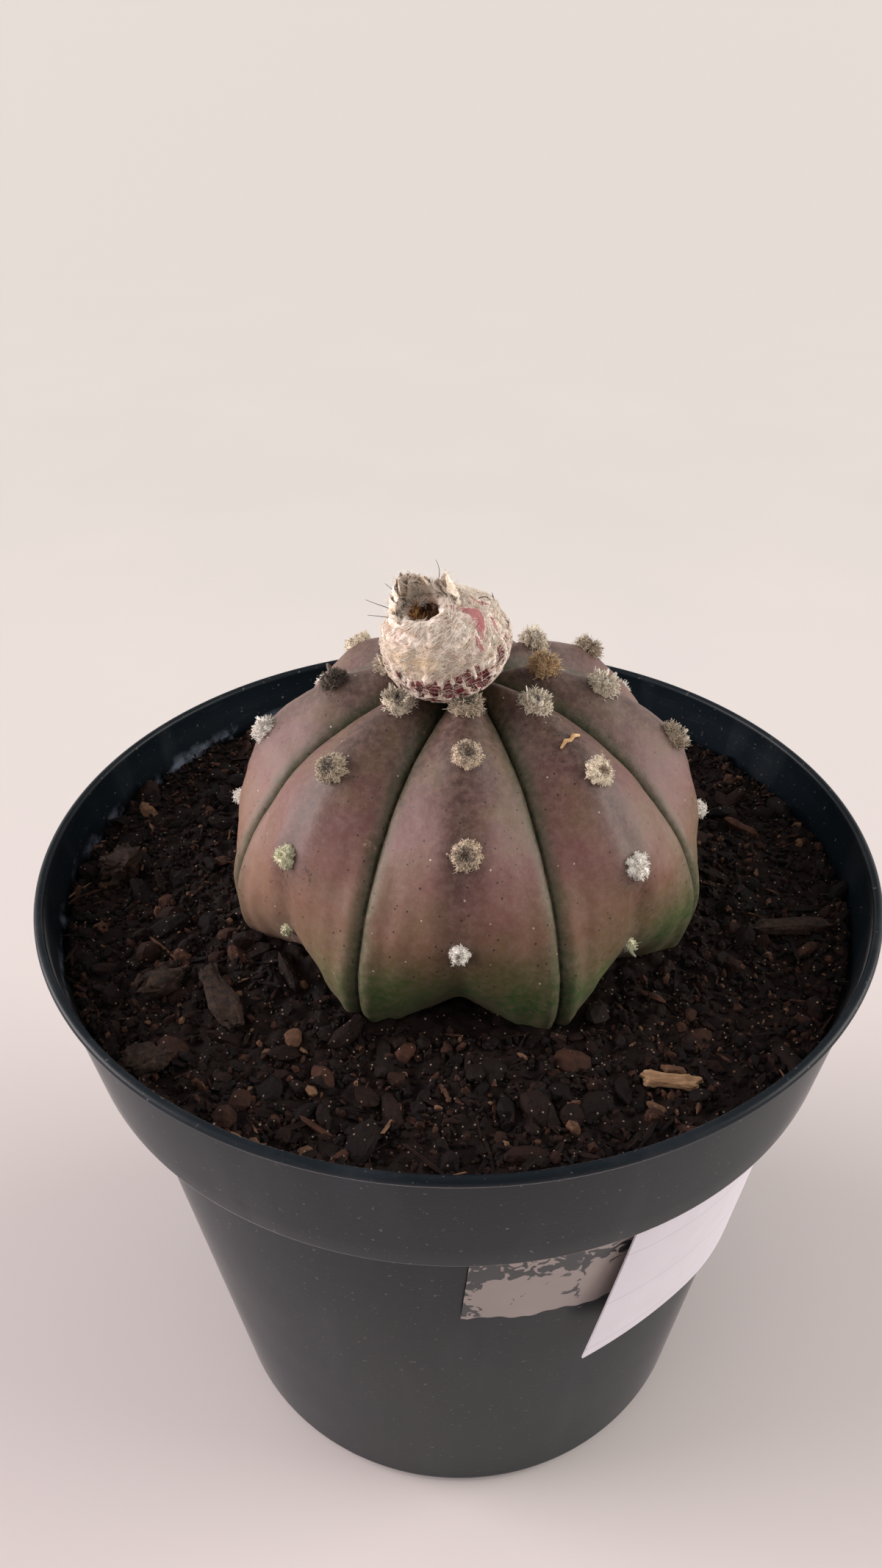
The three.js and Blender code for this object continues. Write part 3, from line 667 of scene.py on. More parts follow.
def make_pot():
    """The pot, with its drain holes cut, marked where lime and damp soil stain the inside of its rim."""
    profile = pot_profile()
    points = []
    for radius, height in profile:
        for i in range(POT_SIDES):
            angle = i * TURN / POT_SIDES
            points.append((radius * math.cos(angle), radius * math.sin(angle), height))
    mesh = mesh_from("pot_shell", points, stacked_faces(len(profile), POT_SIDES), plastic)
    pot = add_object("pot_shell", mesh)
    holes = []
    for i in range(DRAIN_HOLE_COUNT):
        angle = (i + 0.5) * TURN / DRAIN_HOLE_COUNT
        centre = DRAIN_CIRCLE_RADIUS * Vector((math.cos(angle), math.sin(angle), 0))
        ends = [centre + Vector((0, 0, height)) for height in (-FLOOR, 2.5 * FLOOR)]
        holes.append(tube(ends, [DRAIN_HOLE_RADIUS] * 2, DRAIN_HOLE_SIDES))
    drill = add_object("drill", mesh_from("drill", *gather(holes), plastic))
    cut = pot.modifiers.new("drain holes", "BOOLEAN")
    cut.operation = "DIFFERENCE"
    cut.object = drill
    cut.solver = "EXACT"
    make_plain(pot)
    bpy.data.objects.remove(drill)
    pot.data.set_sharp_from_angle(angle=math.radians(35))
    x, y, z = np.array([v.co for v in pot.data.vertices]).T
    inner = (np.hypot(x, y) < collar_radius(z) - 0.6 * WALL) & (z > COLLAR_Z)
    behind_left = np.clip(0.35 - 0.9 * x / LIP_RADIUS + 0.25 * y / LIP_RADIUS, 0, 1)
    mark(pot.data, "lime", inner * behind_left)
    settle(pot, "pot_plastic", "pot")


# ---------------------------------------------------------------- cactus


def cactus_tree():
    """A star-shaped body drawn over a grid: across runs over each rib from groove to groove, and down
    from the apex to the root. The input mesh's points are the areoles, which swell the skin."""
    tree, add, given, result = geometry_tree(
        "star cactus", Columns=9, Rows=9, Ribs=float(RIB_COUNT), First_Rib=FIRST_RIB, Centre=Vector(),
        Curve_Top=CURVE_TOP_MM * MM, Crease_Depth=1.1 * MM, Crease_Width=0.45 * MM,
        Areole_Swelling=0.55 * MM, Furrow=0.75 * MM, Material=skin_finish)
    grid = add("GeometryNodeMeshGrid",
               {"Size X": 1.0, "Size Y": 1.0, "Vertices X": given["Columns"], "Vertices Y": given["Rows"]})
    place = add("ShaderNodeSeparateXYZ", [add("GeometryNodeInputPosition")])
    turn = add("ShaderNodeMath", [place.outputs["X"], 0.5], operation="ADD")

    # Rows lie closest together half way down, and columns in the grooves.
    even_down = add("ShaderNodeMath", [0.5, place.outputs["Y"]], operation="SUBTRACT")
    wave = add("ShaderNodeMath", [even_down, TURN], operation="MULTIPLY")
    ripple = add("ShaderNodeMath", [wave], operation="SINE")
    down = add("ShaderNodeMath", [ripple, 0.05, even_down], operation="MULTIPLY_ADD")
    polar = add("ShaderNodeMath", [down, math.pi], operation="MULTIPLY")

    # Where a point lies in its rib: aside is 0 down the middle and 1 in the grooves.
    rib_place = add("ShaderNodeMath", [turn, given["Ribs"]], operation="MULTIPLY")
    rib = add("ShaderNodeMath", [rib_place], operation="ROUND")
    off_middle = add("ShaderNodeMath", [rib_place, rib], operation="SUBTRACT")
    linear_across = add("ShaderNodeMath", [off_middle, 2.0], operation="MULTIPLY")
    swing = add("ShaderNodeMath", [linear_across, math.pi], operation="MULTIPLY")
    sway = add("ShaderNodeMath", [swing], operation="SINE")
    bunch = add("ShaderNodeMath", [sway, 0.22, linear_across], operation="MULTIPLY_ADD")
    half = add("ShaderNodeMath", [bunch, 0.5, rib], operation="MULTIPLY_ADD")
    step = add("ShaderNodeMath", [TURN, given["Ribs"]], operation="DIVIDE")
    azimuth = add("ShaderNodeMath", [half, step, given["First_Rib"]], operation="MULTIPLY_ADD")
    aside = add("ShaderNodeMath", [bunch], operation="ABSOLUTE")

    # The two profiles, and between them a rib that is full near the apex and a rounded fold lower down.
    drawn = {}
    for name, radii in (("middle", RIB_MIDDLE_MM), ("groove", GROOVE_MM)):
        places = [(deg / 180, mm / CURVE_TOP_MM) for deg, mm in zip(PROFILE_DEG, radii)]
        curve = add("ShaderNodeFloatCurve", {"Value": down}, points=places)
        drawn[name] = add("ShaderNodeMath", [curve, given["Curve_Top"]], operation="MULTIPLY")
    bend = add("ShaderNodeMath", [aside, math.pi], operation="MULTIPLY")
    cosine = add("ShaderNodeMath", [bend], operation="COSINE")
    smooth = add("ShaderNodeMath", [cosine, 0.5, 0.5], operation="MULTIPLY_ADD")
    squared = add("ShaderNodeMath", [aside, 2.0], operation="POWER")
    pillow = add("ShaderNodeMath", [1.0, squared], operation="SUBTRACT")
    upper = add("ShaderNodeMapRange", {"Value": down, "From Min": 0.44, "From Max": 0.3, "To Max": 0.6})
    fullness = add("ShaderNodeMix", {"Factor": upper, "A": smooth, "B": pillow})
    ribbed = add("ShaderNodeMix", {"Factor": fullness, "A": drawn["groove"], "B": drawn["middle"]})

    # A sharp crease in each groove, deepest there and gone near the apex.
    sine = add("ShaderNodeMath", [polar], operation="SINE")
    around = add("ShaderNodeMath", [ribbed, sine], operation="MULTIPLY")
    quarter = add("ShaderNodeMath", [step, 0.5], operation="MULTIPLY")
    rib_half_width = add("ShaderNodeMath", [around, quarter], operation="MULTIPLY")
    to_groove = add("ShaderNodeMath", [1.0, aside], operation="SUBTRACT")
    gap = add("ShaderNodeMath", [to_groove, rib_half_width], operation="MULTIPLY")
    gap_mm = add("ShaderNodeMath", [gap, MM], operation="DIVIDE")
    ratio = add("ShaderNodeMath", [gap, given["Crease_Width"]], operation="DIVIDE")
    fall = add("ShaderNodeMath", [ratio, -1.0], operation="MULTIPLY")
    sinking = add("ShaderNodeMath", [fall], operation="EXPONENT")
    full_crease = add("ShaderNodeMath", [sinking, given["Crease_Depth"]], operation="MULTIPLY")
    open_crease = add("ShaderNodeMapRange", {"Value": sine, "From Max": 0.4})
    crease = add("ShaderNodeMath", [full_crease, open_crease], operation="MULTIPLY")
    creased = add("ShaderNodeMath", [ribbed, crease], operation="SUBTRACT")

    # Shallow pleats beside the grooves, low on the body.
    pleat_turn = add("ShaderNodeMath", [gap_mm, TURN / PLEAT_PITCH_MM], operation="MULTIPLY")
    pleat_wave = add("ShaderNodeMath", [pleat_turn], operation="COSINE")
    pleat_fade = add("ShaderNodeMapRange",
                     {"Value": gap_mm, "From Min": 1.0, "From Max": 11.0, "To Min": 1.0, "To Max": 0.0})
    pleat_low = add("ShaderNodeMapRange", {"Value": down, "From Min": 0.28, "From Max": 0.48})
    fading_pleat = add("ShaderNodeMath", [pleat_wave, pleat_fade], operation="MULTIPLY")
    pleat = add("ShaderNodeMath", [fading_pleat, pleat_low], operation="MULTIPLY")
    radius = add("ShaderNodeMath", [pleat, -PLEAT_DEPTH, creased], operation="MULTIPLY_ADD")

    azimuth_cosine = add("ShaderNodeMath", [azimuth], operation="COSINE")
    azimuth_sine = add("ShaderNodeMath", [azimuth], operation="SINE")
    facing = add("ShaderNodeCombineXYZ", [
        add("ShaderNodeMath", [sine, azimuth_cosine], operation="MULTIPLY"),
        add("ShaderNodeMath", [sine, azimuth_sine], operation="MULTIPLY"),
        add("ShaderNodeMath", [polar], operation="COSINE")])
    reach = add("ShaderNodeVectorMath", {"Vector": facing, "Scale": radius}, operation="SCALE")
    spot = add("ShaderNodeVectorMath", [reach, given["Centre"]], operation="ADD")

    # Swellings at the areoles, a furrow down the middle of a rib, and the skin's own unevenness.
    nearest = add("GeometryNodeProximity",
                  {0: given["Geometry"], "Sample Position": spot}, target_element="POINTS")
    areole_mm = add("ShaderNodeMath", [nearest.outputs["Distance"], MM], operation="DIVIDE")
    middle = add("ShaderNodeMath", [rib_half_width, gap], operation="SUBTRACT")
    middle_mm = add("ShaderNodeMath", [middle, MM], operation="DIVIDE")
    bells = {}
    for name, distance, width in (("areole", areole_mm, AREOLE_SWELLING_WIDTH_MM),
                                  ("middle", middle_mm, FURROW_WIDTH_MM)):
        share = add("ShaderNodeMath", [distance, 1 / width], operation="MULTIPLY")
        squared_share = add("ShaderNodeMath", [share, 2.0], operation="POWER")
        drop = add("ShaderNodeMath", [squared_share, -1.0], operation="MULTIPLY")
        bells[name] = add("ShaderNodeMath", [drop], operation="EXPONENT")
    hill = add("ShaderNodeMath", [bells["areole"], given["Areole_Swelling"]], operation="MULTIPLY")
    middle_low = add("ShaderNodeMapRange", {"Value": down, "From Min": 0.24, "From Max": 0.36})
    low_line = add("ShaderNodeMath", [bells["middle"], middle_low], operation="MULTIPLY")
    furrow = add("ShaderNodeMath", [low_line, given["Furrow"]], operation="MULTIPLY")
    furrowed = add("ShaderNodeMath", [hill, furrow], operation="SUBTRACT")
    swell = add("ShaderNodeTexNoise", {"Vector": spot, "Scale": per_mm(17), "Detail": 2.0})
    broad = add("ShaderNodeMapRange", {"Value": swell, "To Min": -1.0 * MM, "To Max": 1.0 * MM})
    crinkle = add("ShaderNodeTexNoise", {"Vector": spot, "Scale": per_mm(2.4), "Detail": 3.0})
    fine = add("ShaderNodeMapRange", {"Value": crinkle, "To Min": -0.12 * MM, "To Max": 0.12 * MM})
    swollen = add("ShaderNodeMath", [furrowed, broad], operation="ADD")
    lift = add("ShaderNodeMath", [swollen, fine], operation="ADD")
    push = add("ShaderNodeVectorMath", {"Vector": facing, "Scale": lift}, operation="SCALE")
    final = add("ShaderNodeVectorMath", [spot, push], operation="ADD")

    body = grid.outputs["Mesh"]
    for name, value in (("down", down), ("groove_gap", gap_mm), ("middle_gap", middle_mm),
                        ("areole_gap", areole_mm)):
        body = add("GeometryNodeStoreNamedAttribute", {"Geometry": body, "Name": name, "Value": value})
    shaped = add("GeometryNodeSetPosition", {"Geometry": body, "Position": final})
    finish_surface(add, result, shaped, given["Material"])
    return tree


def middle_of(name):
    """The middle of a CAD node's box."""
    low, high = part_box(name)
    return (low + high) / 2


def make_cactus():
    """The cactus's skin, grown over its areoles."""
    areoles = mesh_from("areoles", [middle_of(name) for name in AREOLES], [], skin_finish)
    cactus = grow("cactus_skin", areoles, cactus_tree(), Columns=RIB_COUNT * COLUMNS_PER_RIB + 1,
                  Rows=SKIN_ROWS + 1, Centre=CACTUS_CENTRE)
    return settle(cactus, "cactus_skin", "cactus_body")


def surface_of(mesh):
    """A mesh to cast rays at and find nearest points on."""
    return BVHTree.FromPolygons([v.co for v in mesh.vertices], [p.vertices for p in mesh.polygons])


# ---------------------------------------------------------------- potting mix


LEAST_LUMP = 0.1 * MM
COLLAR_CLEARANCE = 0.1 * MM
# What is strewn over the mix: pieces a square metre, least and most size in millimetres, facets, tilt,
# and how far each piece is broken up and raised, in millimetres.
STREWN = {
    "mix_lumps": (42000, (2.4, 1.6, 1.2), (7.0, 4.4, 3.2), 2, 0.5, 1.6, 0.1),
    "mix_crumbs": (330000, (1.0, 0.8, 0.6), (2.6, 2.0, 1.5), 1, math.pi, 0.7, 0.1),
    "mix_grains": (330000, (0.5, 0.4, 0.4), (1.2, 0.9, 0.8), 1, math.pi, 0.2, 0.2),
    "mix_slivers": (60000, (2.2, 0.35, 0.2), (8.0, 1.0, 0.5), 1, 0.35, 0.9, 0.4),
}


def carpet_tree():
    """The lumpy top of the mix: a closed, ring-shaped carpet over the input mesh. The grid's length runs
    from the pot's wall in under the cactus, then back below the lumps to close the ring."""
    tree, add, given, result = geometry_tree(
        "mix carpet", Columns=521, Rows=100, Inner=22 * MM, Outer=70.6 * MM, Lumps=1.5 * MM,
        Thickness=1.5 * MM, Socket_Level=117.2 * MM, Material=peat)
    grid = add("GeometryNodeMeshGrid",
               {"Size X": 1.0, "Size Y": 1.0, "Vertices X": given["Columns"], "Vertices Y": given["Rows"]})
    place = add("ShaderNodeSeparateXYZ", [add("GeometryNodeInputPosition")])
    azimuth = add("ShaderNodeMath", [place.outputs["X"], TURN], operation="MULTIPLY")
    along = add("ShaderNodeMath", [place.outputs["Y"], 0.5], operation="ADD")
    outward = add("ShaderNodeMapRange", {"Value": along, "From Min": 0.0, "From Max": 0.95})
    homeward = add("ShaderNodeMapRange",
                   {"Value": along, "From Min": 0.96, "From Max": 0.99, "To Min": 0.0, "To Max": 1.0})
    reach = add("ShaderNodeMath", [outward, homeward], operation="SUBTRACT")
    radius = add("ShaderNodeMapRange", {"Value": reach, "To Min": given["Outer"], "To Max": given["Inner"]})
    past_edge = add("ShaderNodeMath", [along, 0.955], operation="GREATER_THAN")
    closing = add("ShaderNodeMath", [along, 0.9999], operation="LESS_THAN")
    under = add("ShaderNodeMath", [past_edge, closing], operation="MULTIPLY")
    cosine = add("ShaderNodeMath", [azimuth], operation="COSINE")
    sine = add("ShaderNodeMath", [azimuth], operation="SINE")
    across = add("ShaderNodeMath", [radius, cosine], operation="MULTIPLY")
    ahead = add("ShaderNodeMath", [radius, sine], operation="MULTIPLY")
    above = add("ShaderNodeCombineXYZ", [across, ahead, 0.2])
    ground = add("GeometryNodeRaycast", {"Target Geometry": given["Geometry"],
                                         "Source Position": above,
                                         "Ray Direction": (0.0, 0.0, -1.0), "Ray Length": 1.0})
    spot = add("ShaderNodeSeparateXYZ", [ground.outputs["Hit Position"]])
    level = add("ShaderNodeMath", [spot.outputs["Z"], given["Socket_Level"]], operation="MAXIMUM")
    hit = add("ShaderNodeCombineXYZ", [across, ahead, level])
    cells = add("ShaderNodeTexVoronoi",
                {"Vector": hit, "Scale": per_mm(3.4), "Smoothness": 0.3}, feature="SMOOTH_F1")
    small = add("ShaderNodeTexVoronoi", {"Vector": hit, "Scale": per_mm(1.5)})
    crumbs = add("ShaderNodeTexNoise",
                 {"Vector": hit, "Scale": per_mm(1.6), "Detail": 4.0, "Roughness": 0.7})
    patch = add("ShaderNodeTexNoise", {"Vector": hit, "Scale": per_mm(11), "Detail": 2.0})
    rough = add("ShaderNodeMapRange",
                {"Value": cells.outputs["Distance"], "From Max": 0.8, "To Min": 0.6, "To Max": -0.4})
    for detail, weight in ((small.outputs["Distance"], -0.35), (crumbs, 0.55), (patch, 0.8)):
        rough = add("ShaderNodeMath", [detail, weight, rough], operation="MULTIPLY_ADD")
    lumps = add("ShaderNodeMath", [rough, given["Lumps"]], operation="MULTIPLY")
    above_ground = add("ShaderNodeMath", [lumps, LEAST_LUMP], operation="MAXIMUM")
    sunk = add("ShaderNodeMath", [under, given["Thickness"]], operation="MULTIPLY")
    kept = add("ShaderNodeMath", [1.0, under], operation="SUBTRACT")
    top = add("ShaderNodeMath", [above_ground, kept], operation="MULTIPLY")
    height = add("ShaderNodeMath", [top, sunk], operation="SUBTRACT")
    raised = add("ShaderNodeCombineXYZ", [0.0, 0.0, height])
    final = add("ShaderNodeVectorMath", [hit, raised], operation="ADD")
    body = add("GeometryNodeStoreNamedAttribute",
               {"Geometry": grid.outputs["Mesh"], "Name": "tone", "Value": crumbs})
    shaped = add("GeometryNodeSetPosition", {"Geometry": body, "Position": final})
    finish_surface(add, result, shaped, given["Material"])
    return tree


def crumb_tree():
    """Crumbs or slivers strewn over the input mesh where its mark "bare_ground" is 1."""
    tree, add, given, result = geometry_tree(
        "strewn crumbs", Density=1000.0, Least=Vector(), Most=Vector(), Facets=1, Tilt=math.pi, Rubble=0.3,
        Rise=0.0, Seed=0, Material=peat)
    ground = add("GeometryNodeInputNamedAttribute", {"Name": "bare_ground"})
    density = add("ShaderNodeMath", [given["Density"], ground], operation="MULTIPLY")
    spots = add("GeometryNodeDistributePointsOnFaces",
                {"Mesh": given["Geometry"], "Density": density, "Seed": given["Seed"]})
    lump = add("GeometryNodeMeshIcoSphere", {"Radius": 0.5, "Subdivisions": given["Facets"]})
    back = add("ShaderNodeMath", [given["Tilt"], -1.0], operation="MULTIPLY")
    low = add("ShaderNodeCombineXYZ", [back, back, 0.0])
    high = add("ShaderNodeCombineXYZ", [given["Tilt"], given["Tilt"], TURN])
    facing = add("FunctionNodeRandomValue", {"Min": low, "Max": high, "Seed": 1}, data_type="FLOAT_VECTOR")
    size = add("FunctionNodeRandomValue",
               {"Min": given["Least"], "Max": given["Most"], "Seed": 2}, data_type="FLOAT_VECTOR")
    chance = add("FunctionNodeRandomValue", {"Min": 0.0, "Max": 1.0, "Seed": 3}, data_type="FLOAT")
    mostly_small = add("ShaderNodeMath", [chance, 2.0], operation="POWER")
    share = add("ShaderNodeMath", [mostly_small, 0.9, 0.55], operation="MULTIPLY_ADD")
    scaled = add("ShaderNodeVectorMath", {"Vector": size, "Scale": share}, operation="SCALE")
    strewn = add("GeometryNodeInstanceOnPoints",
                 {"Points": spots, "Instance": lump, "Rotation": facing, "Scale": scaled})
    tone = add("FunctionNodeRandomValue", {"Min": 0.0, "Max": 1.0, "Seed": 4}, data_type="FLOAT")
    toned = add("GeometryNodeStoreNamedAttribute",
                {"Geometry": strewn, "Name": "tone", "Value": tone}, domain="INSTANCE")
    real = add("GeometryNodeRealizeInstances", {"Geometry": toned})
    place = add("GeometryNodeInputPosition")
    jag = add("ShaderNodeTexNoise", {"Vector": place, "Scale": per_mm(1.3), "Detail": 2.0})
    centred = add("ShaderNodeVectorMath", [jag.outputs["Color"], (0.5, 0.5, 0.5)], operation="SUBTRACT")
    push = add("ShaderNodeVectorMath", {"Vector": centred, "Scale": given["Rubble"]}, operation="SCALE")
    raised = add("ShaderNodeCombineXYZ", [0.0, 0.0, given["Rise"]])
    moved = add("ShaderNodeVectorMath", [push, raised], operation="ADD")
    broken = add("GeometryNodeSetPosition", {"Geometry": real, "Offset": moved})
    flat = add("GeometryNodeSetShadeSmooth", {"Geometry": broken, "Shade Smooth": False})
    wire(result, [add("GeometryNodeSetMaterial", {"Geometry": flat, "Material": given["Material"]})])
    return tree


def keep_inside_collar(mesh):
    """Draws any point that reaches into the collar's wall in to its inner face."""
    for vertex in mesh.vertices:
        reach = math.hypot(vertex.co.x, vertex.co.y)
        inside = min(1, (collar_radius(vertex.co.z) - WALL - COLLAR_CLEARANCE) / reach)
        vertex.co.x *= inside
        vertex.co.y *= inside


def make_mix(skin_surface):
    """The CAD mix in its own finish, the carpet over it, and what is strewn on the carpet outside the
    cactus."""
    cad_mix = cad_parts["potting_mix"]
    cad_mix.data.materials.clear()
    cad_mix.data.materials.append(peat)
    carpet = grow("mix_carpet", cad_mix.data, carpet_tree())
    bare = []
    for vertex in carpet.data.vertices:
        covered = skin_surface.ray_cast(vertex.co - Vector((0, 0, MM)), Vector((0, 0, 1)))[0]
        bare.append(0.0 if covered or vertex.normal.z <= 0.05 else 1.0)
    mark(carpet.data, "bare_ground", bare)
    settle(carpet, "potting_mix")
    tree = crumb_tree()
    for seed, (name, sizes) in enumerate(STREWN.items()):
        density, least, most, facets, tilt, rubble, rise = sizes
        piece = grow(name, carpet.data, tree, Density=float(density), Least=Vector(least) * MM,
                     Most=Vector(most) * MM, Facets=facets, Tilt=tilt, Rubble=rubble * MM, Rise=rise * MM,
                     Seed=seed, Material=peat)
        keep_inside_collar(piece.data)
        settle(piece, "potting_mix")


# ---------------------------------------------------------------- wool


def fur_tree():
    """Tapering, bent fibres over the input mesh where its mark "cover" is 1. They stand on it, or lie
    along its vector mark "comb" as flatness goes to 1. The input mesh stays under them if Keep_Bed."""
    tree, add, given, result = geometry_tree(
        "fur", Density=1e6, Length=2 * MM, Thickness=0.2 * MM, Blunt=0.12, Bend=0.3, Spread=0.4,
        Roll=math.pi, Flatness=0.0, Seed=0, Keep_Bed=True, Material=cream_wool)
    cover = add("GeometryNodeInputNamedAttribute", {"Name": "cover"})
    density = add("ShaderNodeMath", [given["Density"], cover], operation="MULTIPLY")
    spots = add("GeometryNodeDistributePointsOnFaces",
                {"Mesh": given["Geometry"], "Density": density, "Seed": given["Seed"]})
    comb = add("GeometryNodeInputNamedAttribute", {"Name": "comb"}, data_type="FLOAT_VECTOR")
    straight_up = add("FunctionNodeRotateVector", [(0.0, 0.0, 1.0), spots.outputs["Rotation"]])
    lying = add("ShaderNodeMix",
                {"Factor": given["Flatness"], "A": straight_up, "B": comb}, data_type="VECTOR")
    along = add("FunctionNodeAlignRotationToVector", {"Vector": lying}, axis="Z")
    inward = add("ShaderNodeVectorMath", {"Vector": straight_up, "Scale": -1.0}, operation="SCALE")
    settled = add("FunctionNodeAlignRotationToVector",
                  {"Rotation": along, "Vector": inward}, axis="X", pivot_axis="Z")

    # One fibre: a slender cone that bows sideways toward its tip.
    cone = add("GeometryNodeMeshCone", {"Vertices": 3, "Side Segments": 2, "Depth": 1.0,
                                        "Radius Top": given["Blunt"], "Radius Bottom": 0.5})
    place = add("GeometryNodeInputPosition")
    up = add("ShaderNodeSeparateXYZ", [place]).outputs["Z"]
    tipped = add("GeometryNodeStoreNamedAttribute",
                 {"Geometry": cone.outputs["Mesh"], "Name": "tip", "Value": up})
    sizes = add("ShaderNodeCombineXYZ", [given["Thickness"], given["Thickness"], given["Length"]])
    grown = add("ShaderNodeVectorMath", [place, sizes], operation="MULTIPLY")
    up_squared = add("ShaderNodeMath", [up, 2.0], operation="POWER")
    bow_share = add("ShaderNodeMath", [up_squared, given["Bend"]], operation="MULTIPLY")
    bow = add("ShaderNodeMath", [bow_share, given["Length"]], operation="MULTIPLY")
    sideways = add("ShaderNodeCombineXYZ", [bow, 0.0, 0.0])
    bent = add("ShaderNodeVectorMath", [grown, sideways], operation="ADD")
    fibre = add("GeometryNodeSetPosition", {"Geometry": tipped, "Position": bent})

    # The fibres, each of its own size and turned a little its own way.
    size = add("FunctionNodeRandomValue", {"Min": 0.55, "Max": 1.15, "Seed": 1}, data_type="FLOAT")
    strands = add("GeometryNodeInstanceOnPoints", {
        "Points": spots.outputs["Points"], "Instance": fibre, "Rotation": settled, "Scale": size})
    back = add("ShaderNodeMath", [given["Spread"], -1.0], operation="MULTIPLY")
    counter = add("ShaderNodeMath", [given["Roll"], -1.0], operation="MULTIPLY")
    least = add("ShaderNodeCombineXYZ", [back, back, counter])
    most = add("ShaderNodeCombineXYZ", [given["Spread"], given["Spread"], given["Roll"]])
    stray = add("FunctionNodeRandomValue", {"Min": least, "Max": most, "Seed": 2}, data_type="FLOAT_VECTOR")
    roll = add("ShaderNodeVectorMath", [stray, (0.0, 0.0, 1.0)], operation="MULTIPLY")
    tilt = add("ShaderNodeVectorMath", [stray, (1.0, 1.0, 0.0)], operation="MULTIPLY")
    rolled = add("GeometryNodeRotateInstances", {"Instances": strands, "Rotation": roll})
    tilted = add("GeometryNodeRotateInstances", {"Instances": rolled, "Rotation": tilt})
    tone = add("FunctionNodeRandomValue", {"Min": 0.0, "Max": 1.0, "Seed": 3}, data_type="FLOAT")
    toned = add("GeometryNodeStoreNamedAttribute",
                {"Geometry": tilted, "Name": "tone", "Value": tone}, domain="INSTANCE")
    real = add("GeometryNodeRealizeInstances", {"Geometry": toned})
    smooth = add("GeometryNodeSetShadeSmooth", {"Geometry": real, "Shade Smooth": True})
    finished = add("GeometryNodeSetMaterial", {"Geometry": smooth, "Material": given["Material"]})
    bed = add("GeometryNodeSwitch",
              {"Switch": given["Keep_Bed"], "True": given["Geometry"]}, input_type="GEOMETRY")
    joined = add("GeometryNodeJoinGeometry", {"Geometry": [finished, bed]})
    wire(result, [joined])
    return tree


# Tufts by their step down the rib: finish, radius, height and hollow of the pad, length, thickness and
# spread of the fibres, how flat they lie, fibres a square millimetre, and loose flakes. The named ones
# look unlike their neighbours. Each fibre stands for a lock of hairs, which are too fine to show.
TUFTS = {
    0: (old_wool, 2.2, 1.6, 0.5, 0.9, 0.16, 0.4, 0.9, 11, 7),
    1: (torn_wool, 2.2, 1.7, 0.8, 0.8, 0.16, 0.5, 0.8, 10, 16),
    2: (ring_wool, 2.3, 1.5, 1.1, 0.45, 0.15, 0.45, 0.6, 11, 0),
    3: (cream_wool, 2.2, 1.6, 1.1, 0.45, 0.15, 0.45, 0.6, 11, 0),
    4: (ring_wool, 2.25, 1.5, 1.2, 0.45, 0.15, 0.45, 0.55, 11, 0),
    5: (white_wool, 1.95, 1.8, 0.5, 0.45, 0.16, 0.45, 0.6, 11, 0),
    6: (white_wool, 1.35, 1.8, 0.6, 0.4, 0.14, 0.4, 0.6, 14, 0),
    7: (green_wool, 0.95, 1.4, 0.2, 0.4, 0.14, 0.4, 0.6, 14, 2),
}
ODD_TUFTS = {
    "areole_rib_3_step_0": (tan_wool, 2.1, 1.7, 0.0, 1.1, 0.16, 0.7, 0.7, 11, 9),
    "areole_rib_7_step_2": (dark_wool, 2.0, 1.6, 0.4, 0.7, 0.16, 0.5, 0.8, 11, 6),
    "areole_rib_8_step_3": (old_wool, 2.2, 1.9, 0.0, 0.5, 0.16, 0.45, 0.6, 11, 0),
    "areole_rib_8_step_5": (green_wool, 1.8, 1.7, 0.5, 0.4, 0.15, 0.45, 0.6, 11, 0),
    "areole_rib_7_step_4": (white_wool, 1.9, 1.8, 0.4, 0.7, 0.16, 0.6, 0.7, 11, 5),
    "areole_rib_3_step_2": (torn_wool, 2.3, 1.6, 0.6, 0.8, 0.16, 0.6, 0.75, 10, 14),
    "areole_rib_4_step_3": (old_wool, 2.1, 1.8, 0.4, 0.9, 0.16, 0.6, 0.75, 10, 9),
    "areole_rib_3_step_4": (old_wool, 2.1, 1.8, 0.4, 0.9, 0.16, 0.6, 0.75, 10, 8),
}
PAD_RINGS = 11
PAD_SIDES = 34
# A pad's foot lies below the skin.
PAD_FOOT = -1.2 * MM
LEAF_ROWS = 5
LEAF_POINTS = 4 * LEAF_ROWS


def make_pad(radius, height, hollow, finish, seed):
    """A low, lumpy dome with a hollow at its heart: the felt that a tuft's fibres grow from."""
    points = []
    shares = []
    comb = [(0.0, 0.0, 1.0)] * PAD_SIDES
    offset = Vector((seed * 3.1, 0, 0))
    for ring in range(PAD_RINGS):
        share = 1 - ring / (PAD_RINGS - 1) * 0.93
        for i in range(PAD_SIDES):
            angle = i * TURN / PAD_SIDES
            spot = Vector((math.cos(angle), math.sin(angle), 0)) * share
            lump = (1 + 0.3 * noise.noise(spot * 2.1 + offset) + 0.35 * noise.noise(spot * 5 + offset)
                    + 0.2 * noise.noise(spot * 11 + offset))
            level = (1 - share ** 2.6) ** 0.55 - hollow / height * math.exp(-(share / 0.42) ** 2)
            points.append((spot * radius * lump + Vector((0, 0, height * level * lump))) * MM)
            shares.append(share)
            swirl = Matrix.Rotation(3.0 * noise.noise(spot * 1.6 - offset), 3, "Z") @ spot
            comb.append((swirl.normalized() + Vector((0, 0, 0.25))).normalized())
    under = [Vector((p.x, p.y, PAD_FOOT)) for p in points[:PAD_SIDES]]
    mesh = mesh_from("pad", under + points, stacked_faces(PAD_RINGS + 1, PAD_SIDES), finish)
    mark(mesh, "rim", [1.0] * PAD_SIDES + shares)
    mark(mesh, "cover", [0.0] * PAD_SIDES + [1.0] * len(points))
    mark(mesh, "tone", [0.5] * (PAD_SIDES + len(points)))
    mark(mesh, "tip", [0.35] * (PAD_SIDES + len(points)))
    mark_directions(mesh, "comb", comb)
    return mesh


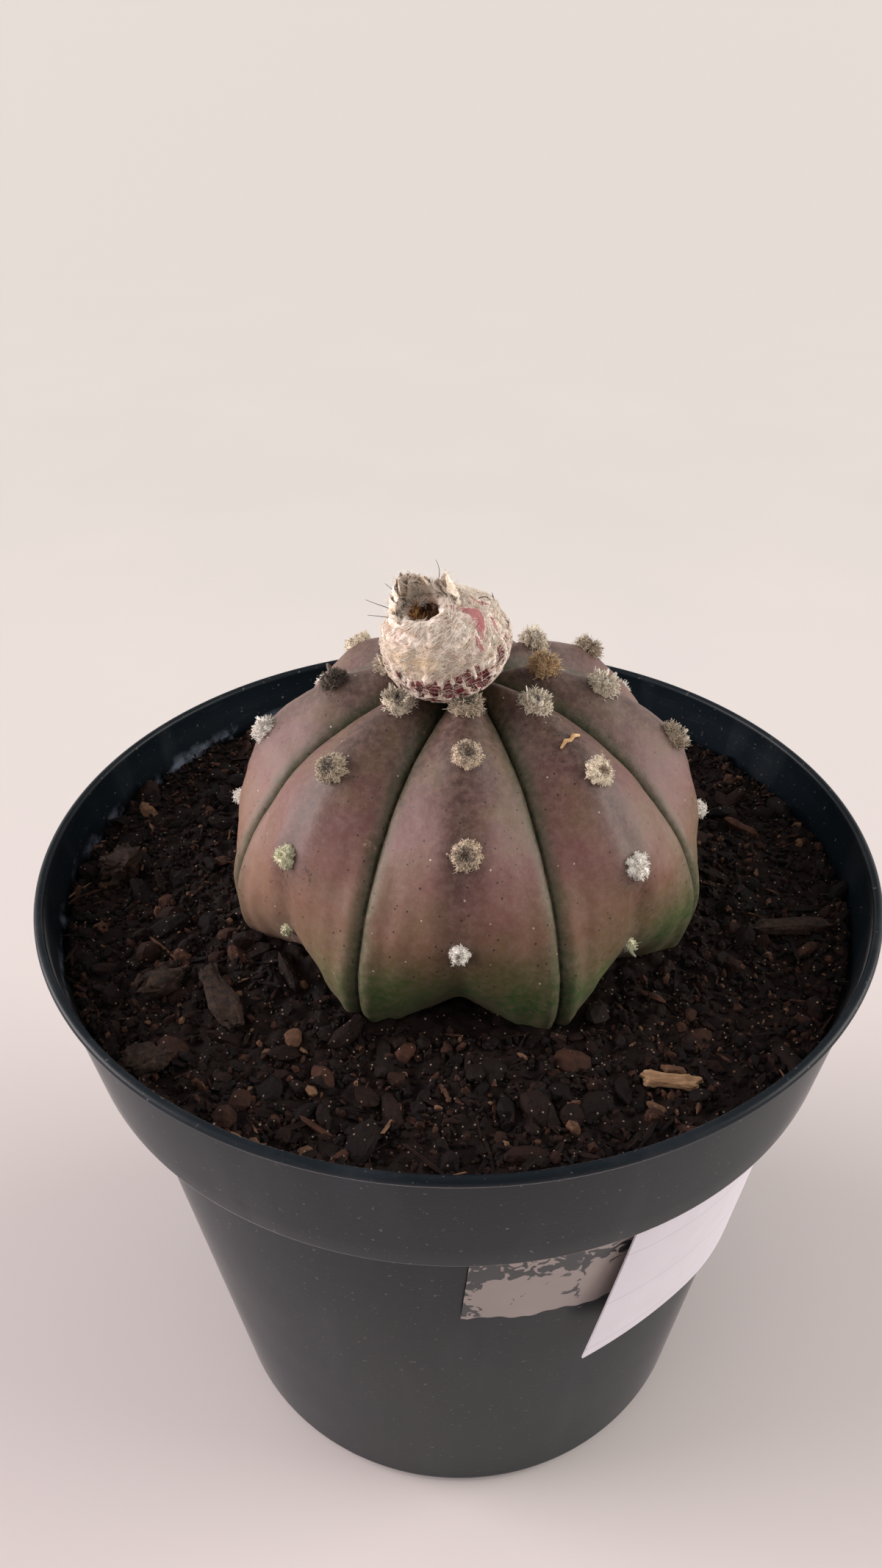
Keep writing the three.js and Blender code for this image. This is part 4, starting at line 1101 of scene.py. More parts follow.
def leaf(base, ahead, outward, length, width, curl, taper=0.7):
    """A closed, thin leaf from its base, curving outward; a smaller taper gives it a broad end."""
    side = ahead.cross(outward).normalized()
    points = []
    for row in range(LEAF_ROWS):
        share = row / (LEAF_ROWS - 1)
        middle = base + ahead * length * share + outward * (0.12 * MM + curl * share ** 2)
        half = width / 2 * math.sin(math.pi * (0.28 + taper * share)) * side
        thick = outward * 0.14 * MM * (1.1 - share)
        points += [middle - half, middle - thick, middle + half, middle + thick]
    return points, turned(stacked_faces(LEAF_ROWS, 4))


def make_flakes(radius, height, finish, count, seed):
    """Torn, curled flakes of dry felt standing round a worn tuft."""
    shapes = []
    for i in range(count):
        angle = i * GOLDEN_ANGLE + seed
        chance = noise.cell(Vector((i + 0.5, seed + 0.5, 0.5)))
        outward = Vector((math.cos(angle), math.sin(angle), 0.15))
        ahead = (outward * (0.15 + 0.5 * chance) + Vector((0, 0, 1))).normalized()
        foot = outward * radius * (0.35 + 0.55 * chance) * MM + Vector((0, 0, height * 0.35 * MM))
        shapes.append(leaf(foot, ahead, outward.normalized(), (1.1 + 1.0 * chance) * MM,
                           (0.55 + 0.5 * chance) * MM, (1.1 - 1.6 * chance) * MM, taper=0.6))
    points, faces = gather(shapes)
    mesh = mesh_from("flakes", points, faces, finish)
    mark(mesh, "rim", [1.0] * len(points))
    mark(mesh, "tone", [noise.cell(Vector((i // LEAF_POINTS + 0.5, seed, 0.5))) for i in range(len(points))])
    mark(mesh, "tip", [(i % LEAF_POINTS) / 24 + 0.2 for i in range(len(points))])
    return add_object("flakes", mesh)


def make_tufts(skin_surface, fur):
    """A tuft of wool for each areole, standing square on the skin."""
    for seed, name in enumerate(AREOLES):
        look = ODD_TUFTS.get(name, TUFTS[int(name[-1])])
        finish, radius, height, hollow, length, thickness, spread, flatness, count, flakes = look
        pad = make_pad(radius, height, hollow, finish, seed)
        tuft = grow(name.replace("areole", "tuft"), pad, fur, Density=count / MM ** 2, Length=length * MM,
                    Thickness=thickness * MM, Blunt=0.3, Bend=0.75, Spread=spread, Flatness=flatness,
                    Seed=seed, Material=finish)
        if flakes:
            tuft = join(tuft.name, [tuft, make_flakes(radius, height, finish, flakes, seed)])
        place, outward, _, _ = skin_surface.find_nearest(middle_of(name))
        stand = outward.to_track_quat("Z", "Y").to_matrix().to_4x4()
        tuft.data.transform(Matrix.Translation(place) @ stand)
        settle(tuft, "areole_wool", name)


# ---------------------------------------------------------------- fruit


BERRY_SIDES = 180
BERRY_OUTER_ROWS = 92
BERRY_FOOT_DEG = 4
BERRY_RIM_DEG = 157
SCALE_COUNT = 60
LOOSE_HAIRS = 640
LOOSE_HAIR_POINTS = 6
# A hair is drawn about three times as thick as it is, so that it shows.
LOOSE_HAIR_RADIUS = 0.032 * MM
HAIR_GAP_FROM_BARE_BAND = 0.3 * MM
# Heights between which the low locks of wool give way to matted felt.
LOCKS_END, FELT_STARTS = 8 * MM, 11.5 * MM
# The cup in the berry's top that the flower stands in: radius and height of each ring.
CUP_MM = [(3.6, 18.3), (2.6, 17.9), (2.2, 17.0), (2.0, 15.9), (1.8, 14.7), (1.3, 13.8), (0.3, 13.5)]
# Worn bands on the berry where its skin shows: places along each one, with its half width there.
BARE_BANDS_MM = [
    [((1.8, -2.1, 18.3), 0.15), ((3.1, -3.0, 17.8), 0.3), ((4.9, -3.3, 16.9), 0.4),
     ((6.3, -3.9, 15.7), 1.2), ((6.5, -5.2, 14.7), 1.1), ((6.5, -6.8, 13.2), 0.2)],
    [((6.3, -0.3, 16.2), 0.1), ((7.6, -0.3, 15.2), 0.35), ((8.5, -0.2, 14.2), 0.1)],
    [((8.3, -3.2, 13.9), 0.1), ((8.8, -3.7, 12.6), 0.35), ((9.1, -4.1, 11.4), 0.1)],
    [((5.1, -5.4, 16.1), 0.0), ((5.5, -6.4, 14.9), 0.2), ((5.8, -7.5, 13.2), 0.35), ((6, -7.8, 11.8), 0.2)],
    [((4.2, 0.2, 17.4), 0.25), ((5.2, 0.4, 16.8), 0.25)],
]
# A tan stain and a raised fold, each along a line on the berry's front.
STAIN_MM = ((-6.6, -6.6, 13.4), (-2.2, -9.2, 13.2))
FOLD_MM = ((-6.0, -7.2, 14.4), (-0.8, -8.8, 15.6))
# The cup stands off the berry's middle.
CUP_SHIFT = Vector((-1.0, -2.3, 0)) * MM


def smooth_share(value, low, high):
    """0 at or below low and 1 at or above high, with a smooth step between."""
    share = min(max((value - low) / (high - low), 0), 1)
    return share * share * (3 - 2 * share)


def berry_point(polar_deg, azimuth, offset=0):
    """A point on the berry's outside: polar runs up from its base, and the top leans to the cup."""
    angle = math.radians(polar_deg)
    fullness = 1.45 if polar_deg < 90 else 0.85
    radius = (FRUIT_RADIUS + offset) * math.sin(angle) ** fullness
    height = FRUIT_LENGTH / 2 - (FRUIT_LENGTH / 2 + offset) * math.cos(angle)
    lean = CUP_SHIFT * smooth_share(polar_deg, 100, BERRY_RIM_DEG)
    return Vector((radius * math.cos(azimuth), radius * math.sin(azimuth), height)) + lean


def band_gap(point, start, start_half, end, end_half):
    """How far outside a tapering band a point lies; less than 0 inside it."""
    along = max(0, min(1, (point - start).dot(end - start) / (end - start).length_squared))
    return (point - start.lerp(end, along)).length - (start_half + (end_half - start_half) * along)


def bare_gap(point):
    """How far a point on the berry is from the nearest bare band."""
    return min(band_gap(point, Vector(start) * MM, start_half * MM, Vector(end) * MM, end_half * MM)
               for band in BARE_BANDS_MM for (start, start_half), (end, end_half) in zip(band, band[1:]))


def near_line(point, line_mm, reach_mm):
    """1 on a line, and less away from it."""
    start, end = (Vector(place) * MM for place in line_mm)
    return math.exp(-(band_gap(point, start, 0, end, 0) / (reach_mm * MM)) ** 2)


def low_share(point):
    """1 low on the berry, where its wool hangs in locks, and 0 above."""
    return 1 - smooth_share(point.z, LOCKS_END, FELT_STARTS)


def on_lock(point):
    """Upright locks of wool low on the berry: 1 on a lock, 0 on the skin between two."""
    torn = noise.noise(Vector((point.x / 0.85, point.y / 0.85, point.z / 3.0)) / MM)
    torn += 0.35 * noise.noise(point / (0.6 * MM)) + 0.45 * noise.noise(point / (2.9 * MM))
    return smooth_share(torn, -0.16, 0.16)


def combing(point):
    """The way hair lies at a point: upward low on the berry, and round it higher up."""
    around = Vector((-point.y, point.x, 0)).normalized()
    inward = Vector((point.x, point.y, 0)).normalized() * 0.6 * smooth_share(point.z, 9 * MM, 17 * MM)
    upward = Vector((0, 0, 1)) - inward
    swirl = smooth_share(point.z, 10 * MM, 14 * MM)
    stray = 1.9 * noise.noise(point / (1.9 * MM))
    swirling = around + upward * (0.35 + stray)
    rising = upward + around * stray
    return (swirling * swirl + rising * (1 - swirl)).normalized()


def berry_rings():
    """The berry's points, ring by ring, twice: smooth, and with the lumps of its felt and locks. The last
    rings line the cup, and are the same in both."""
    smooth = []
    lumpy = []
    for row in range(BERRY_OUTER_ROWS):
        polar = BERRY_FOOT_DEG + (BERRY_RIM_DEG - BERRY_FOOT_DEG) * row / (BERRY_OUTER_ROWS - 1)
        for i in range(BERRY_SIDES):
            azimuth = i * TURN / BERRY_SIDES
            spot = berry_point(polar, azimuth)
            matted = (noise.noise(spot / (3.2 * MM)) * 0.5 + noise.noise(spot / (1.1 * MM)) * 0.35
                      + abs(noise.noise(spot / (0.7 * MM))) * 0.3)
            matted += 0.55 * near_line(spot, FOLD_MM, 0.55)
            low = low_share(spot)
            lump = matted * (1 - low) + (1.1 * on_lock(spot) - 0.6) * low
            smooth.append(spot)
            lumpy.append(berry_point(polar, azimuth, lump * MM))
    cup = []
    for radius, height in CUP_MM:
        for i in range(BERRY_SIDES):
            azimuth = i * TURN / BERRY_SIDES
            ragged = 1 + 0.3 * noise.noise(Vector((2 * math.cos(azimuth), 2 * math.sin(azimuth), height)))
            wall = Vector((radius * ragged * math.cos(azimuth), radius * ragged * math.sin(azimuth), height))
            cup.append(wall * MM + CUP_SHIFT)
    return smooth + cup, lumpy + cup


def make_berry():
    """The felted berry, marked with where its skin shows, its stain, and how its hair grows."""
    spots, points = berry_rings()
    mesh = mesh_from("berry", points, stacked_faces(BERRY_OUTER_ROWS + len(CUP_MM), BERRY_SIDES),
                     berry_finish)
    bare = []
    cover = []
    for i, point in enumerate(spots):
        on_band = min(0.6 - bare_gap(point) / (0.4 * MM), 1)
        between_locks = (1.2 - on_lock(point)) * low_share(point)
        bare.append(max(on_band, between_locks, 0.0))
        in_cup = i >= (BERRY_OUTER_ROWS + 1) * BERRY_SIDES
        cover.append(0.0 if in_cup else max(1 - 1.4 * bare[-1], 0.0))
    mark(mesh, "bare", bare)
    mark(mesh, "low", [low_share(point) for point in spots])
    mark(mesh, "stain", [0.8 * near_line(point, STAIN_MM, 2.2) for point in spots])
    mark(mesh, "rim", [1 - 0.2 * low_share(point) for point in spots])
    mark(mesh, "cover", cover)
    mark_directions(mesh, "comb", [combing(point) for point in spots])
    return mesh


def make_scales():
    """Dry pointed scales in a spiral over the lower half of the berry, no two alike."""
    shapes = []
    for i in range(SCALE_COUNT):
        chance = noise.cell(Vector((i + 0.5, 0.5, 0.5)))
        polar = 40 + 46 * math.sqrt(i / SCALE_COUNT) + 8 * chance
        azimuth = i * GOLDEN_ANGLE + 0.5 * chance
        base = berry_point(polar, azimuth)
        ahead = (berry_point(polar + 4, azimuth) - base).normalized()
        around = (berry_point(polar, azimuth + 0.05) - base).normalized()
        outward = around.cross(ahead)
        ahead = (ahead + around * (chance - 0.5)).normalized()
        shapes.append(leaf(base, ahead, outward, (1.3 + 1.6 * chance) * MM, (0.7 + 0.5 * chance) * MM,
                           0.7 * chance * MM))
    points, faces = gather(shapes)
    return mesh_from("scales", points, faces, scale_finish)


def make_loose_hairs(felt):
    """Long single hairs that have come loose from the felt: each lies along it, lifted in its middle."""
    chance = np.random.default_rng(19)
    ground = surface_of(felt)
    shapes = []
    for _ in range(LOOSE_HAIRS):
        spot = berry_point(chance.uniform(76, 142), chance.uniform(0, TURN))
        around = Vector((-spot.y, spot.x, 0)).normalized() * float(chance.choice((-1, 1)))
        heading = (around + Vector((0, 0, 1)) * float(chance.normal(0, 0.4))).normalized()
        bend = float(chance.normal(0, 0.13))
        step = float(chance.uniform(2.5, 6.5)) * MM / (LOOSE_HAIR_POINTS - 1)
        lift = float(chance.uniform(0.05, 0.3))
        path = []
        for i in range(LOOSE_HAIR_POINTS):
            place = ground.find_nearest(spot)[0]
            outward = (place - FRUIT_MIDDLE).normalized()
            rise = 0.08 + lift * math.sin(math.pi * i / (LOOSE_HAIR_POINTS - 1))
            path.append(place + outward * rise * MM)
            heading = Matrix.Rotation(bend, 3, outward) @ heading
            heading = (heading - outward * heading.dot(outward)).normalized()
            spot = place + heading * step
        if min(bare_gap(place) for place in path) > HAIR_GAP_FROM_BARE_BAND:
            shapes.append(tube(path, [LOOSE_HAIR_RADIUS] * LOOSE_HAIR_POINTS, 3))
    return mesh_from("loose_hairs", *gather(shapes), hair_finish)


def make_fruit(fur):
    """The berry with its combed hair, its scales and its loose hairs."""
    felt = make_berry()
    hairs = add_object("loose_hairs", make_loose_hairs(felt))
    berry = grow("berry", felt, fur, Density=9 / MM ** 2, Length=1.6 * MM, Thickness=0.1 * MM,
                 Bend=0.4, Spread=0.32, Roll=1.2, Flatness=0.92, Seed=3, Material=berry_wool)
    scales = add_object("scales", make_scales())
    fruit = join("fruit_berry", [berry, scales, hairs])
    fruit.data.transform(FRUIT_FRAME)
    settle(fruit, "fruit_wool", "fruit")


# ---------------------------------------------------------------- dried flower


def make_shred(azimuth_deg, radius, base, length, width, cup, seed):
    """One papery lobe of the dried flower: it stands on the berry's rim, bellies outward and closes."""
    azimuth = math.radians(azimuth_deg)
    outward = Vector((math.cos(azimuth), math.sin(azimuth), 0))
    side = Vector((-outward.y, outward.x, 0))
    rings = []
    for row in range(SHRED_ROWS):
        share = row / (SHRED_ROWS - 1)
        front = []
        back = []
        for column in range(SHRED_COLUMNS):
            aside = 2 * column / (SHRED_COLUMNS - 1) - 1
            crumple = noise.noise(Vector((aside * 2.2, share * 2.6, seed * 2.7)))
            tear = 1 + 0.2 * noise.noise(Vector((aside * 3.1, seed * 5.1, 0)))
            belly = math.sin(math.pi * (0.15 + 0.8 * share)) * cup - 0.28 * width * aside ** 2
            reach = (radius + belly + 0.55 * crumple) * MM
            height = (base + length * share * tear * (1 - 0.3 * aside ** 2)) * MM
            across = aside * width / 2 * MM * math.sin(math.pi * (0.2 + 0.6 * share))
            spot = outward * reach + side * across + Vector((0, 0, height)) + CUP_SHIFT
            front.append(spot)
            back.append(spot - outward * 0.2 * MM)
        rings += front + list(reversed(back))
    return rings, stacked_faces(SHRED_ROWS, 2 * SHRED_COLUMNS)


SHRED_ROWS = 9
SHRED_COLUMNS = 9
# The dried flower's lobes: azimuth, radius, foot, length, width and how far each one bellies out.
SHREDS = [
    (10, 5.4, 15.2, 2.8, 3.2, 0.5), (34, 5.6, 15.4, 6.2, 4.2, 0.7), (50, 5.0, 15.7, 4.8, 4.0, 0.6),
    (70, 4.2, 16.2, 5.2, 4.6, 0.7), (92, 3.9, 16.4, 6.4, 5.2, 0.8), (105, 4.8, 16.0, 5.6, 5.0, 0.9),
    (118, 4.1, 16.2, 7.2, 6.0, 1.0), (138, 4.4, 16.1, 6.6, 5.0, 1.2), (158, 4.6, 16.2, 4.6, 4.0, 1.2),
    (180, 4.6, 16.2, 3.2, 3.4, 1.2), (200, 4.6, 16.2, 2.2, 3.0, 1.0),
]
# Long bristles that stand clear: foot, a point on the way and tip.
LONG_BRISTLES_MM = [
    [(-4.4, -0.6, 17.6), (-7.0, -0.8, 19.6), (-9.2, -1.0, 22.0)],
    [(-4.6, -1.6, 17.0), (-7.2, -1.9, 18.6), (-9.6, -2.2, 20.0)],
    [(-4.0, 1.4, 18.4), (-5.0, 1.6, 20.4), (-6.0, 1.9, 22.0)],
    [(2.0, 2.4, 19.6), (3.0, 2.6, 21.4), (2.6, 2.9, 23.0)],
    [(7.2, 0.4, 15.6), (8.9, 0.2, 16.2), (9.0, -0.2, 14.4)],
    [(-1.6, 2.6, 19.4), (-1.2, 2.8, 21.4), (-2.2, 3.0, 22.4)],
    [(0.4, 2.2, 19.6), (-0.8, 1.6, 21.0), (-3.0, 1.4, 21.2)],
]
LONG_BRISTLE_POINTS = 8
SHORT_BRISTLES = 48
SHORT_BRISTLE_POINTS = 5
BRISTLE_RADIUS = 0.065 * MM
# The hollow that the brown fibres line: radius and height of each ring.
HOLLOW_MM = ((1.5, 14.0), (1.9, 15.2), (2.1, 16.6), (2.6, 17.8))
HOLLOW_SIDES = 30
HOLLOW_WALL_MM = 0.15


def make_bristles():
    """Dark dry bristles: a few long ones, and short curled ones around the flower and over the wool."""
    shapes = []
    for line in LONG_BRISTLES_MM:
        foot, way, tip = (Vector(place) * MM for place in line)
        shares = [i / (LONG_BRISTLE_POINTS - 1) for i in range(LONG_BRISTLE_POINTS)]
        path = [foot.lerp(way, share).lerp(way.lerp(tip, share), share) for share in shares]
        shapes.append(tube(path, np.linspace(1.3, 0.5, LONG_BRISTLE_POINTS) * BRISTLE_RADIUS, 4))
    for i in range(SHORT_BRISTLES):
        azimuth = i * GOLDEN_ANGLE
        polar = 60 + 92 * ((i * 0.618) % 1)
        base = berry_point(polar, azimuth, 0.25 * MM)
        out = (base - FRUIT_MIDDLE).normalized()
        beyond = berry_point(polar + 6, azimuth + 0.5 * math.sin(3.1 * i))
        ahead = (beyond - berry_point(polar, azimuth)).normalized()
        length = (0.9 + 0.6 * math.sin(5.3 * i)) * MM
        path = [base + ahead * length * k / 4 + out * length * 0.35 * math.sin(0.65 * k)
                for k in range(SHORT_BRISTLE_POINTS)]
        shapes.append(tube(path, np.linspace(1.1, 0.5, SHORT_BRISTLE_POINTS) * BRISTLE_RADIUS, 4))
    return mesh_from("bristles", *gather(shapes), bristle_finish)


def make_hollow():
    """The hollow's thin wall, closed, and a mesh of its inner side alone for the brown fibres to grow on."""
    points = []
    for beyond in (0, HOLLOW_WALL_MM):
        for radius, height in HOLLOW_MM:
            for i in range(HOLLOW_SIDES):
                angle = i * TURN / HOLLOW_SIDES
                reach = radius + beyond
                spot = Vector((reach * math.cos(angle), reach * math.sin(angle), height)) * MM
                points.append(spot + CUP_SHIFT)
    count = len(HOLLOW_MM) * HOLLOW_SIDES
    top = count - HOLLOW_SIDES
    outer = stacked_faces(len(HOLLOW_MM), HOLLOW_SIDES)[:-2]
    inner = turned(outer)
    faces = inner + [tuple(count + i for i in face) for face in outer]
    for i in range(HOLLOW_SIDES):
        j = (i + 1) % HOLLOW_SIDES
        faces += [(i, j, count + j, count + i), (top + j, top + i, count + top + i, count + top + j)]
    wall = mesh_from("hollow_wall", points, faces, fibre_finish)
    wall.set_sharp_from_angle(angle=math.radians(50))
    return wall, mesh_from("hollow", points[:count], inner, fibre_finish)


def make_crown(fur):
    """The dried flower: papery lobes with fine hair, fibres inside them, and bristles."""
    shreds = mesh_from("shreds", *gather(make_shred(*shape, seed=i) for i, shape in enumerate(SHREDS)),
                       petal_finish)
    count = len(shreds.vertices)
    mark(shreds, "cover", [1.0] * count)
    mark(shreds, "rim", [1.0] * count)
    papery = grow("papery", shreds, fur, Density=2.4 / MM ** 2, Length=1.5 * MM, Thickness=0.08 * MM,
                  Bend=0.5, Spread=1.0, Seed=11, Material=berry_wool)
    wall, hollow = make_hollow()
    rusty = hollow.copy()
    upper_left = [1.0 if v.co.x < -2.2 * MM and v.co.z > 16 * MM else 0.0 for v in rusty.vertices]
    mark(hollow, "cover", [1.0] * len(hollow.vertices))
    mark(rusty, "cover", upper_left)
    fibres = grow("fibres", hollow, fur, Density=7 / MM ** 2, Length=2.0 * MM, Thickness=0.13 * MM,
                  Bend=0.7, Spread=0.9, Seed=12, Keep_Bed=False, Material=fibre_finish)
    outer_fibres = grow("outer_fibres", rusty, fur, Density=26 / MM ** 2, Length=1.9 * MM,
                        Thickness=0.16 * MM, Bend=0.5, Spread=1.2, Seed=13, Keep_Bed=False,
                        Material=rust_finish)
    crown = join("dried_flower", [papery, fibres, outer_fibres, add_object("hollow_wall", wall),
                                  add_object("bristles", make_bristles())])
    crown.data.transform(FRUIT_FRAME)
    settle(crown, "dried_flower", "dried_flower_crown")


# ---------------------------------------------------------------- tape and label


def wrap(name, sheet, finish, columns, rows, lift, bottom):
    """A thin closed sheet wrapped around the pot body, marked with each point's share of the way along
    and down it. lift(along, down) stands it off, and bottom(along) moves its lower edge, all in
    millimetres."""
    slant = math.radians(sheet["turn"])
    points = []
    alongs = []
    downs = []
    for depth in (0, sheet["thickness"]):
        for row in range(rows):
            for column in range(columns):
                along = sheet["width"] * column / (columns - 1)
                down = (sheet["height"] + bottom(along)) * row / (rows - 1)
                z = (sheet["top"] - down * math.cos(slant) - along * math.sin(slant)) * MM
                around = (along * math.cos(slant) - down * math.sin(slant)) * MM
                angle = math.radians(sheet["azimuth"] - 90) + around / body_radius(z)
                radius = body_radius(z) + (sheet["clearance"] + depth + lift(along, down)) * MM
                points.append((radius * math.cos(angle), radius * math.sin(angle), z))
                alongs.append(column / (columns - 1))
                downs.append(row / (rows - 1))
    mesh = mesh_from(name, points, sheet_faces(columns, rows), finish)
    mesh.set_sharp_from_angle(angle=math.radians(50))
    mark(mesh, "along", alongs)
    mark(mesh, "down", downs)
    return add_object(name, mesh)


def sheet_faces(columns, rows):
    """Faces of two layers of the same grid, back first, and of the edge between them."""
    count = rows * columns
    faces = []
    for row in range(rows - 1):
        for column in range(columns - 1):
            a = row * columns + column
            b, c, d = a + 1, a + 1 + columns, a + columns
            faces += [(a, b, c, d), (count + a, count + d, count + c, count + b)]
    border = ([c for c in range(columns)] + [r * columns + columns - 1 for r in range(1, rows)]
              + [(rows - 1) * columns + c for c in range(columns - 2, -1, -1)]
              + [r * columns for r in range(rows - 2, 0, -1)])
    for a, b in zip(border, border[1:] + border[:1]):
        faces.append((b, a, count + a, count + b))
    return faces


def uneven_tear(along):
    """How far the tape's torn lower edge strays from straight."""
    return 0.45 * math.sin(0.55 * along + 2.2) + 0.2 * math.sin(1.7 * along)


def label_lift(along, down):
    """How far the label stands off: its lower left corner has come away."""
    side = max(0, 1 - along / LABEL_LIFTED_WIDTH_MM)
    return LABEL_CORNER_LIFT_MM * side ** 2 * down / LABEL["height"]


def make_sheets():
    """The tape, marked where air creeps in at its left edge and along a crease, and the label over its
    right end."""
    tape = wrap("tape_film", TAPE, tape_finish, TAPE_COLUMNS, TAPE_ROWS, lambda along, down: 0.0, uneven_tear)
    along = np.array([a.value for a in tape.data.attributes["along"].data])
    down = np.array([a.value for a in tape.data.attributes["down"].data])
    crease = np.exp(-((down - 0.36) / 0.16) ** 2)
    left = np.clip(1 - along / 0.14, 0, 1)
    mark(tape.data, "edge", np.maximum(crease, 0.9 * left))
    settle(tape, "tape_film", "tape")
    label = wrap("label_card", LABEL, card_finish, LABEL_COLUMNS, LABEL_ROWS, label_lift, lambda along: 0.0)
    settle(label, "label_paper", "paper_label")


# ---------------------------------------------------------------- chips


CHIP_SIDES = 36
CHIP_ROWS = 26


def rough_piece(length, width, thickness, seed):
    """Points and faces of a splintered block, lengthwise along X."""
    points = []
    offset = Vector((seed * 7.3, 0, 0))
    for row in range(CHIP_ROWS):
        polar = math.pi * (row + 0.5) / CHIP_ROWS
        for i in range(CHIP_SIDES):
            azimuth = i * TURN / CHIP_SIDES
            ball = (math.cos(polar), math.sin(polar) * math.sin(azimuth), math.sin(polar) * math.cos(azimuth))
            block = Vector([math.copysign(abs(v) ** 0.4, v) for v in Vector(ball)])
            skew = noise.noise(Vector((block.x * 1.1, 0, 0)) + offset)
            slim = 1 - 0.25 * block.x ** 2 + 0.35 * skew
            spot = Vector((block.x * length, block.y * width * slim, block.z * thickness * slim)) / 2
            spot.x += 0.5 * width * noise.noise(Vector((0, block.y * 1.6, block.z)) + offset) * block.x
            rough = noise.noise_vector(Vector((spot.x * 0.5, spot.y, spot.z)) + offset)
            splinter = noise.noise(Vector((spot.x * 0.3, spot.y * 2.6, spot.z * 2.6)) + offset)
            crumb = noise.noise(spot * 2.4 + offset)
            uneven = rough * 0.22 + block * (0.2 * splinter + 0.12 * crumb)
            points.append((spot + uneven * thickness) * MM)
    return points, stacked_faces(CHIP_ROWS, CHIP_SIDES)


def make_chips():
    """The large chips of bark and the one of split wood, where the CAD chips lie."""
    for seed, (name, (length, width, thickness, heading)) in enumerate(CHIPS.items()):
        finish, slot = (wood_finish, "split_wood") if name == "wood_chip" else (bark_finish, "bark")
        mesh = mesh_from(f"{name}_split", *rough_piece(length, width, thickness, seed), finish)
        turn = Matrix.Rotation(math.radians(heading), 4, "Z")
        mesh.transform(Matrix.Translation(middle_of(name)) @ turn)
        settle(add_object(mesh.name, mesh), slot, name)


# The fallen curl: its path over the skin, and its radius at each place.
CURL_MM = [(16.4, -18.0, 159.5), (17.2, -16.7, 160.1), (18.0, -16.4, 160.0), (18.5, -15.2, 160.1),
           (19.5, -14.5, 159.7)]
CURL_RADII_MM = [0.2, 0.36, 0.3, 0.4, 0.22]


def make_curl():
    """A dry curl of fallen flower lying on the skin of the second rib."""
    path = [Vector(place) * MM for place in CURL_MM]
    mesh = mesh_from("fallen_curl", *tube(path, [radius * MM for radius in CURL_RADII_MM], 8), curl_finish)
    settle(add_object("fallen_curl", mesh), "dried_flower")


# ---------------------------------------------------------------- floor, light and camera


FLOOR_REACH = 40
# Soft light from all round, and wide lobes of more or less of it: toward the lobe's middle, the cosine
# where it starts, and how much it adds.
SKY_GLOW = 0.36
SKY_LOBES = (
    ((0.0, -0.75, 0.66), 0.25, -0.2),
    ((-1.0, 0.0, 0.0), 0.0, 1.25),
    ((1.0, 0.0, 0.0), 0.0, 0.9),
    ((0.0, 1.0, 0.0), 0.0, 0.05),
)
WINDOW_WIDTH_DEG = 40
CAMERA_PLACE = Vector((0, -0.1765, 0.2615))
CAMERA_PITCH = 0.601
CAMERA_YAW = -0.0153
CAMERA_ROLL = -0.0118
FOCAL_LENGTH_MM = 27.67
SENSOR_WIDTH_MM = 36


def make_floor():
    """A pale, matt, faintly clouded floor, warmer in front than behind."""
    material, add, shader, where = new_material("pale matt floor", 0.9, Specular_IOR_Level=0.2)
    ahead = add("ShaderNodeSeparateXYZ", [where]).outputs["Y"]
    away = add("ShaderNodeMapRange", {"Value": ahead, "From Min": -0.1, "From Max": 0.5})
    tint = add("ShaderNodeMix", {"Factor": away, "A": "e0d6d6", "B": "cfccc8"}, data_type="RGBA")
    cloud = add("ShaderNodeTexNoise", {"Vector": where, "Scale": per_mm(120), "Detail": 3.0})
    near = add("ShaderNodeMapRange",
               {"Value": ahead, "From Min": 0.3, "From Max": 1.2, "To Min": 0.3, "To Max": 0.0})
    dull = add("ShaderNodeMapRange", {"Value": cloud, "From Min": 0.4, "From Max": 0.7, "To Max": near})
    clouded = add("ShaderNodeMix", {"Factor": dull, "A": tint, "B": "dcd5d1"}, data_type="RGBA")
    wire(shader, {"Base Color": clouded})
    corners = [(x * FLOOR_REACH, y * FLOOR_REACH, 0) for x, y in ((-1, -1), (1, -1), (1, 1), (-1, 1))]
    floor = add_object("floor", mesh_from("floor", corners, [(0, 1, 2, 3)], material, smooth=False))


def add_window(name, toward, strength, colour):
    """Light from far away, as wide in the sky as a large window."""
    light = bpy.data.lights.new(name, "SUN")
    light.energy = strength
    light.angle = math.radians(WINDOW_WIDTH_DEG)
    light.color = linear(colour)[:3]
    lamp = add_object(name, light)
    lamp.rotation_euler = (-Vector(toward)).to_track_quat("-Z", "Y").to_euler()


